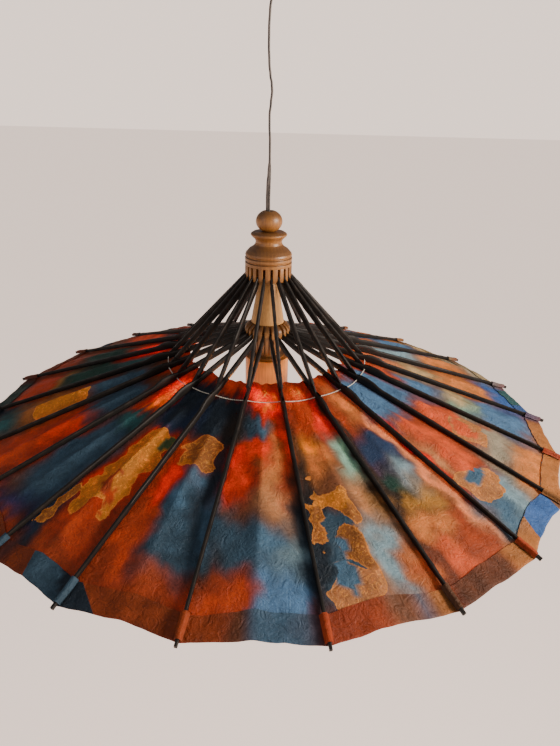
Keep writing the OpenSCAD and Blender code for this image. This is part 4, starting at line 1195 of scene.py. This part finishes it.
def fittings():
    """The lampholder, the lit bulb and its screw cap in the cup, and the rose on the ceiling."""
    holder_top, cup_foot = -40.07, -78.07
    grooves = []
    for n in range(5):
        z = cup_foot + 26 - n * 4.4
        grooves += [(20, z), (20, z - 2.4), (19.2, z - 2.9), (19.2, z - 3.9)]
    outline = rounded(metres([(3.2, holder_top), (12, holder_top), (18, holder_top - 5), (20, holder_top - 7)]
                             + grooves + [(20, cup_foot + 2), (20, cup_foot), (13.6, cup_foot),
                                          (13.6, cup_foot + 22.8), (3.2, cup_foot + 22.8)]), 0.4 * MM)
    mesh = outward_faces(new_mesh("holder", *lathe(outline)))
    finished("moulded_lampholder", mesh, "lamp", "black_bakelite",
             plain_finish("moulded_bakelite", "#191818", 0.28), "lampholder")
    shell = [(0, cup_foot + 22), (4, cup_foot + 22), (5, cup_foot + 20.4), (11.7, cup_foot + 18)]
    for n in range(5, 0, -1):
        z = cup_foot + n * 3.4
        shell += [(12.5, z), (13.1, z - 0.7), (13.1, z - 1.6), (12.5, z - 2.4), (12.4, z - 3)]
    outline = metres(shell + [(12.5, cup_foot - 2), (0, cup_foot - 2)])
    mesh = outward_faces(new_mesh("cap", *lathe(outline, 72)))
    finished("rolled_screw_cap", mesh, "bulb", "cap_metal",
             plain_finish("nickel_plated_steel", "#c9c5ba", 0.3, metallic=1.0), "bulb_cap")
    globe_r, neck = GLOBE_R / MM, 12.4
    middle = cup_foot - 51 + globe_r
    arc = [(globe_r * math.sin(math.radians(a)), middle + globe_r * math.cos(math.radians(a)))
           for a in range(56, 180, 6)]
    outline = metres([(0, cup_foot - 2), (neck, cup_foot - 2), (neck + 0.4, cup_foot - 6),
                      (14.6, cup_foot - 10.5)]
                     + arc + [(0, middle - globe_r)])
    mesh = outward_faces(new_mesh("globe", *lathe(outline, 72)))
    glass = finished("frosted_globe", mesh, "bulb", "frosted_glass", lit_glass(), "bulb_glass")
    glass.visible_shadow = False
    white = plain_finish("moulded_urea_white", "#ece8df", 0.35)
    for node in ("rose_base", "rose_cover"):
        shown = frame["nodes"][node]
        shown.data.materials.clear()
        shown.data.materials.append(white)


# ---------------------------------------------------------------- room
def studio():
    """A pale floor far below the lamp, an even pale world and soft lights, the main one on the right."""
    world = bpy.data.worlds.new("studio")
    world.use_nodes = True
    tree = world.node_tree
    seen = tree.nodes["Background"]
    seen.inputs[0].default_value = colour("#e3cfc2")
    seen.inputs[1].default_value = 2.1
    lit = add(tree, "ShaderNodeBackground", {0: colour("#dcd6d4"), 1: 0.36})
    eye = add(tree, "ShaderNodeLightPath").outputs["Is Camera Ray"]
    both = add(tree, "ShaderNodeMixShader", {0: eye, 1: lit.outputs[0], 2: seen.outputs[0]})
    tree.links.new(both.outputs[0], tree.nodes["World Output"].inputs["Surface"])
    bpy.context.scene.world = world
    size, height = 60, -2.2
    mesh = bpy.data.meshes.new("floor")
    mesh.from_pydata([(-size, -size, height), (size, -size, height), (size, size, height),
                      (-size, size, height)],
                     [], [(0, 1, 2, 3)])
    floor = linked("floor", mesh)
    material, _, shader = new_material("pale_floor")
    shader.inputs["Base Color"].default_value = colour("#d9d2cc")
    shader.inputs["Roughness"].default_value = 0.9
    shader.inputs["Emission Color"].default_value = colour("#e0c8ba")
    shader.inputs["Emission Strength"].default_value = 1.5
    mesh.materials.append(material)
    soft_light("window", (1.6, -0.7, 0.2), 0.5, 62, "#fff0e2")
    soft_light("wall_bounce", (-1.4, -0.9, 0.5), 1.2, 6, "#e8ecf4")
    bulb = bpy.data.lights.new("bulb", "POINT")
    bulb.energy = 4
    bulb.color = colour("#ff9a50")[:3]
    bulb.shadow_soft_size = 0.018
    lamp = linked("bulb", bulb)
    lamp.location = (0, 0, BULB_FOOT + GLOBE_R)


def soft_light(name, spot, size, power, code):
    """A square soft light that faces the lamp."""
    data = bpy.data.lights.new(name, "AREA")
    data.size = size
    data.energy = power
    data.color = colour(code)[:3]
    made = linked(name, data)
    made.location = spot
    aim = Vector((0, 0, -0.4)) - Vector(spot)
    made.rotation_euler = aim.to_track_quat("-Z", "Y").to_euler()


camera()
cords()
paper()
bamboo_frame()
threads()
turned_parts()
fittings()
studio()
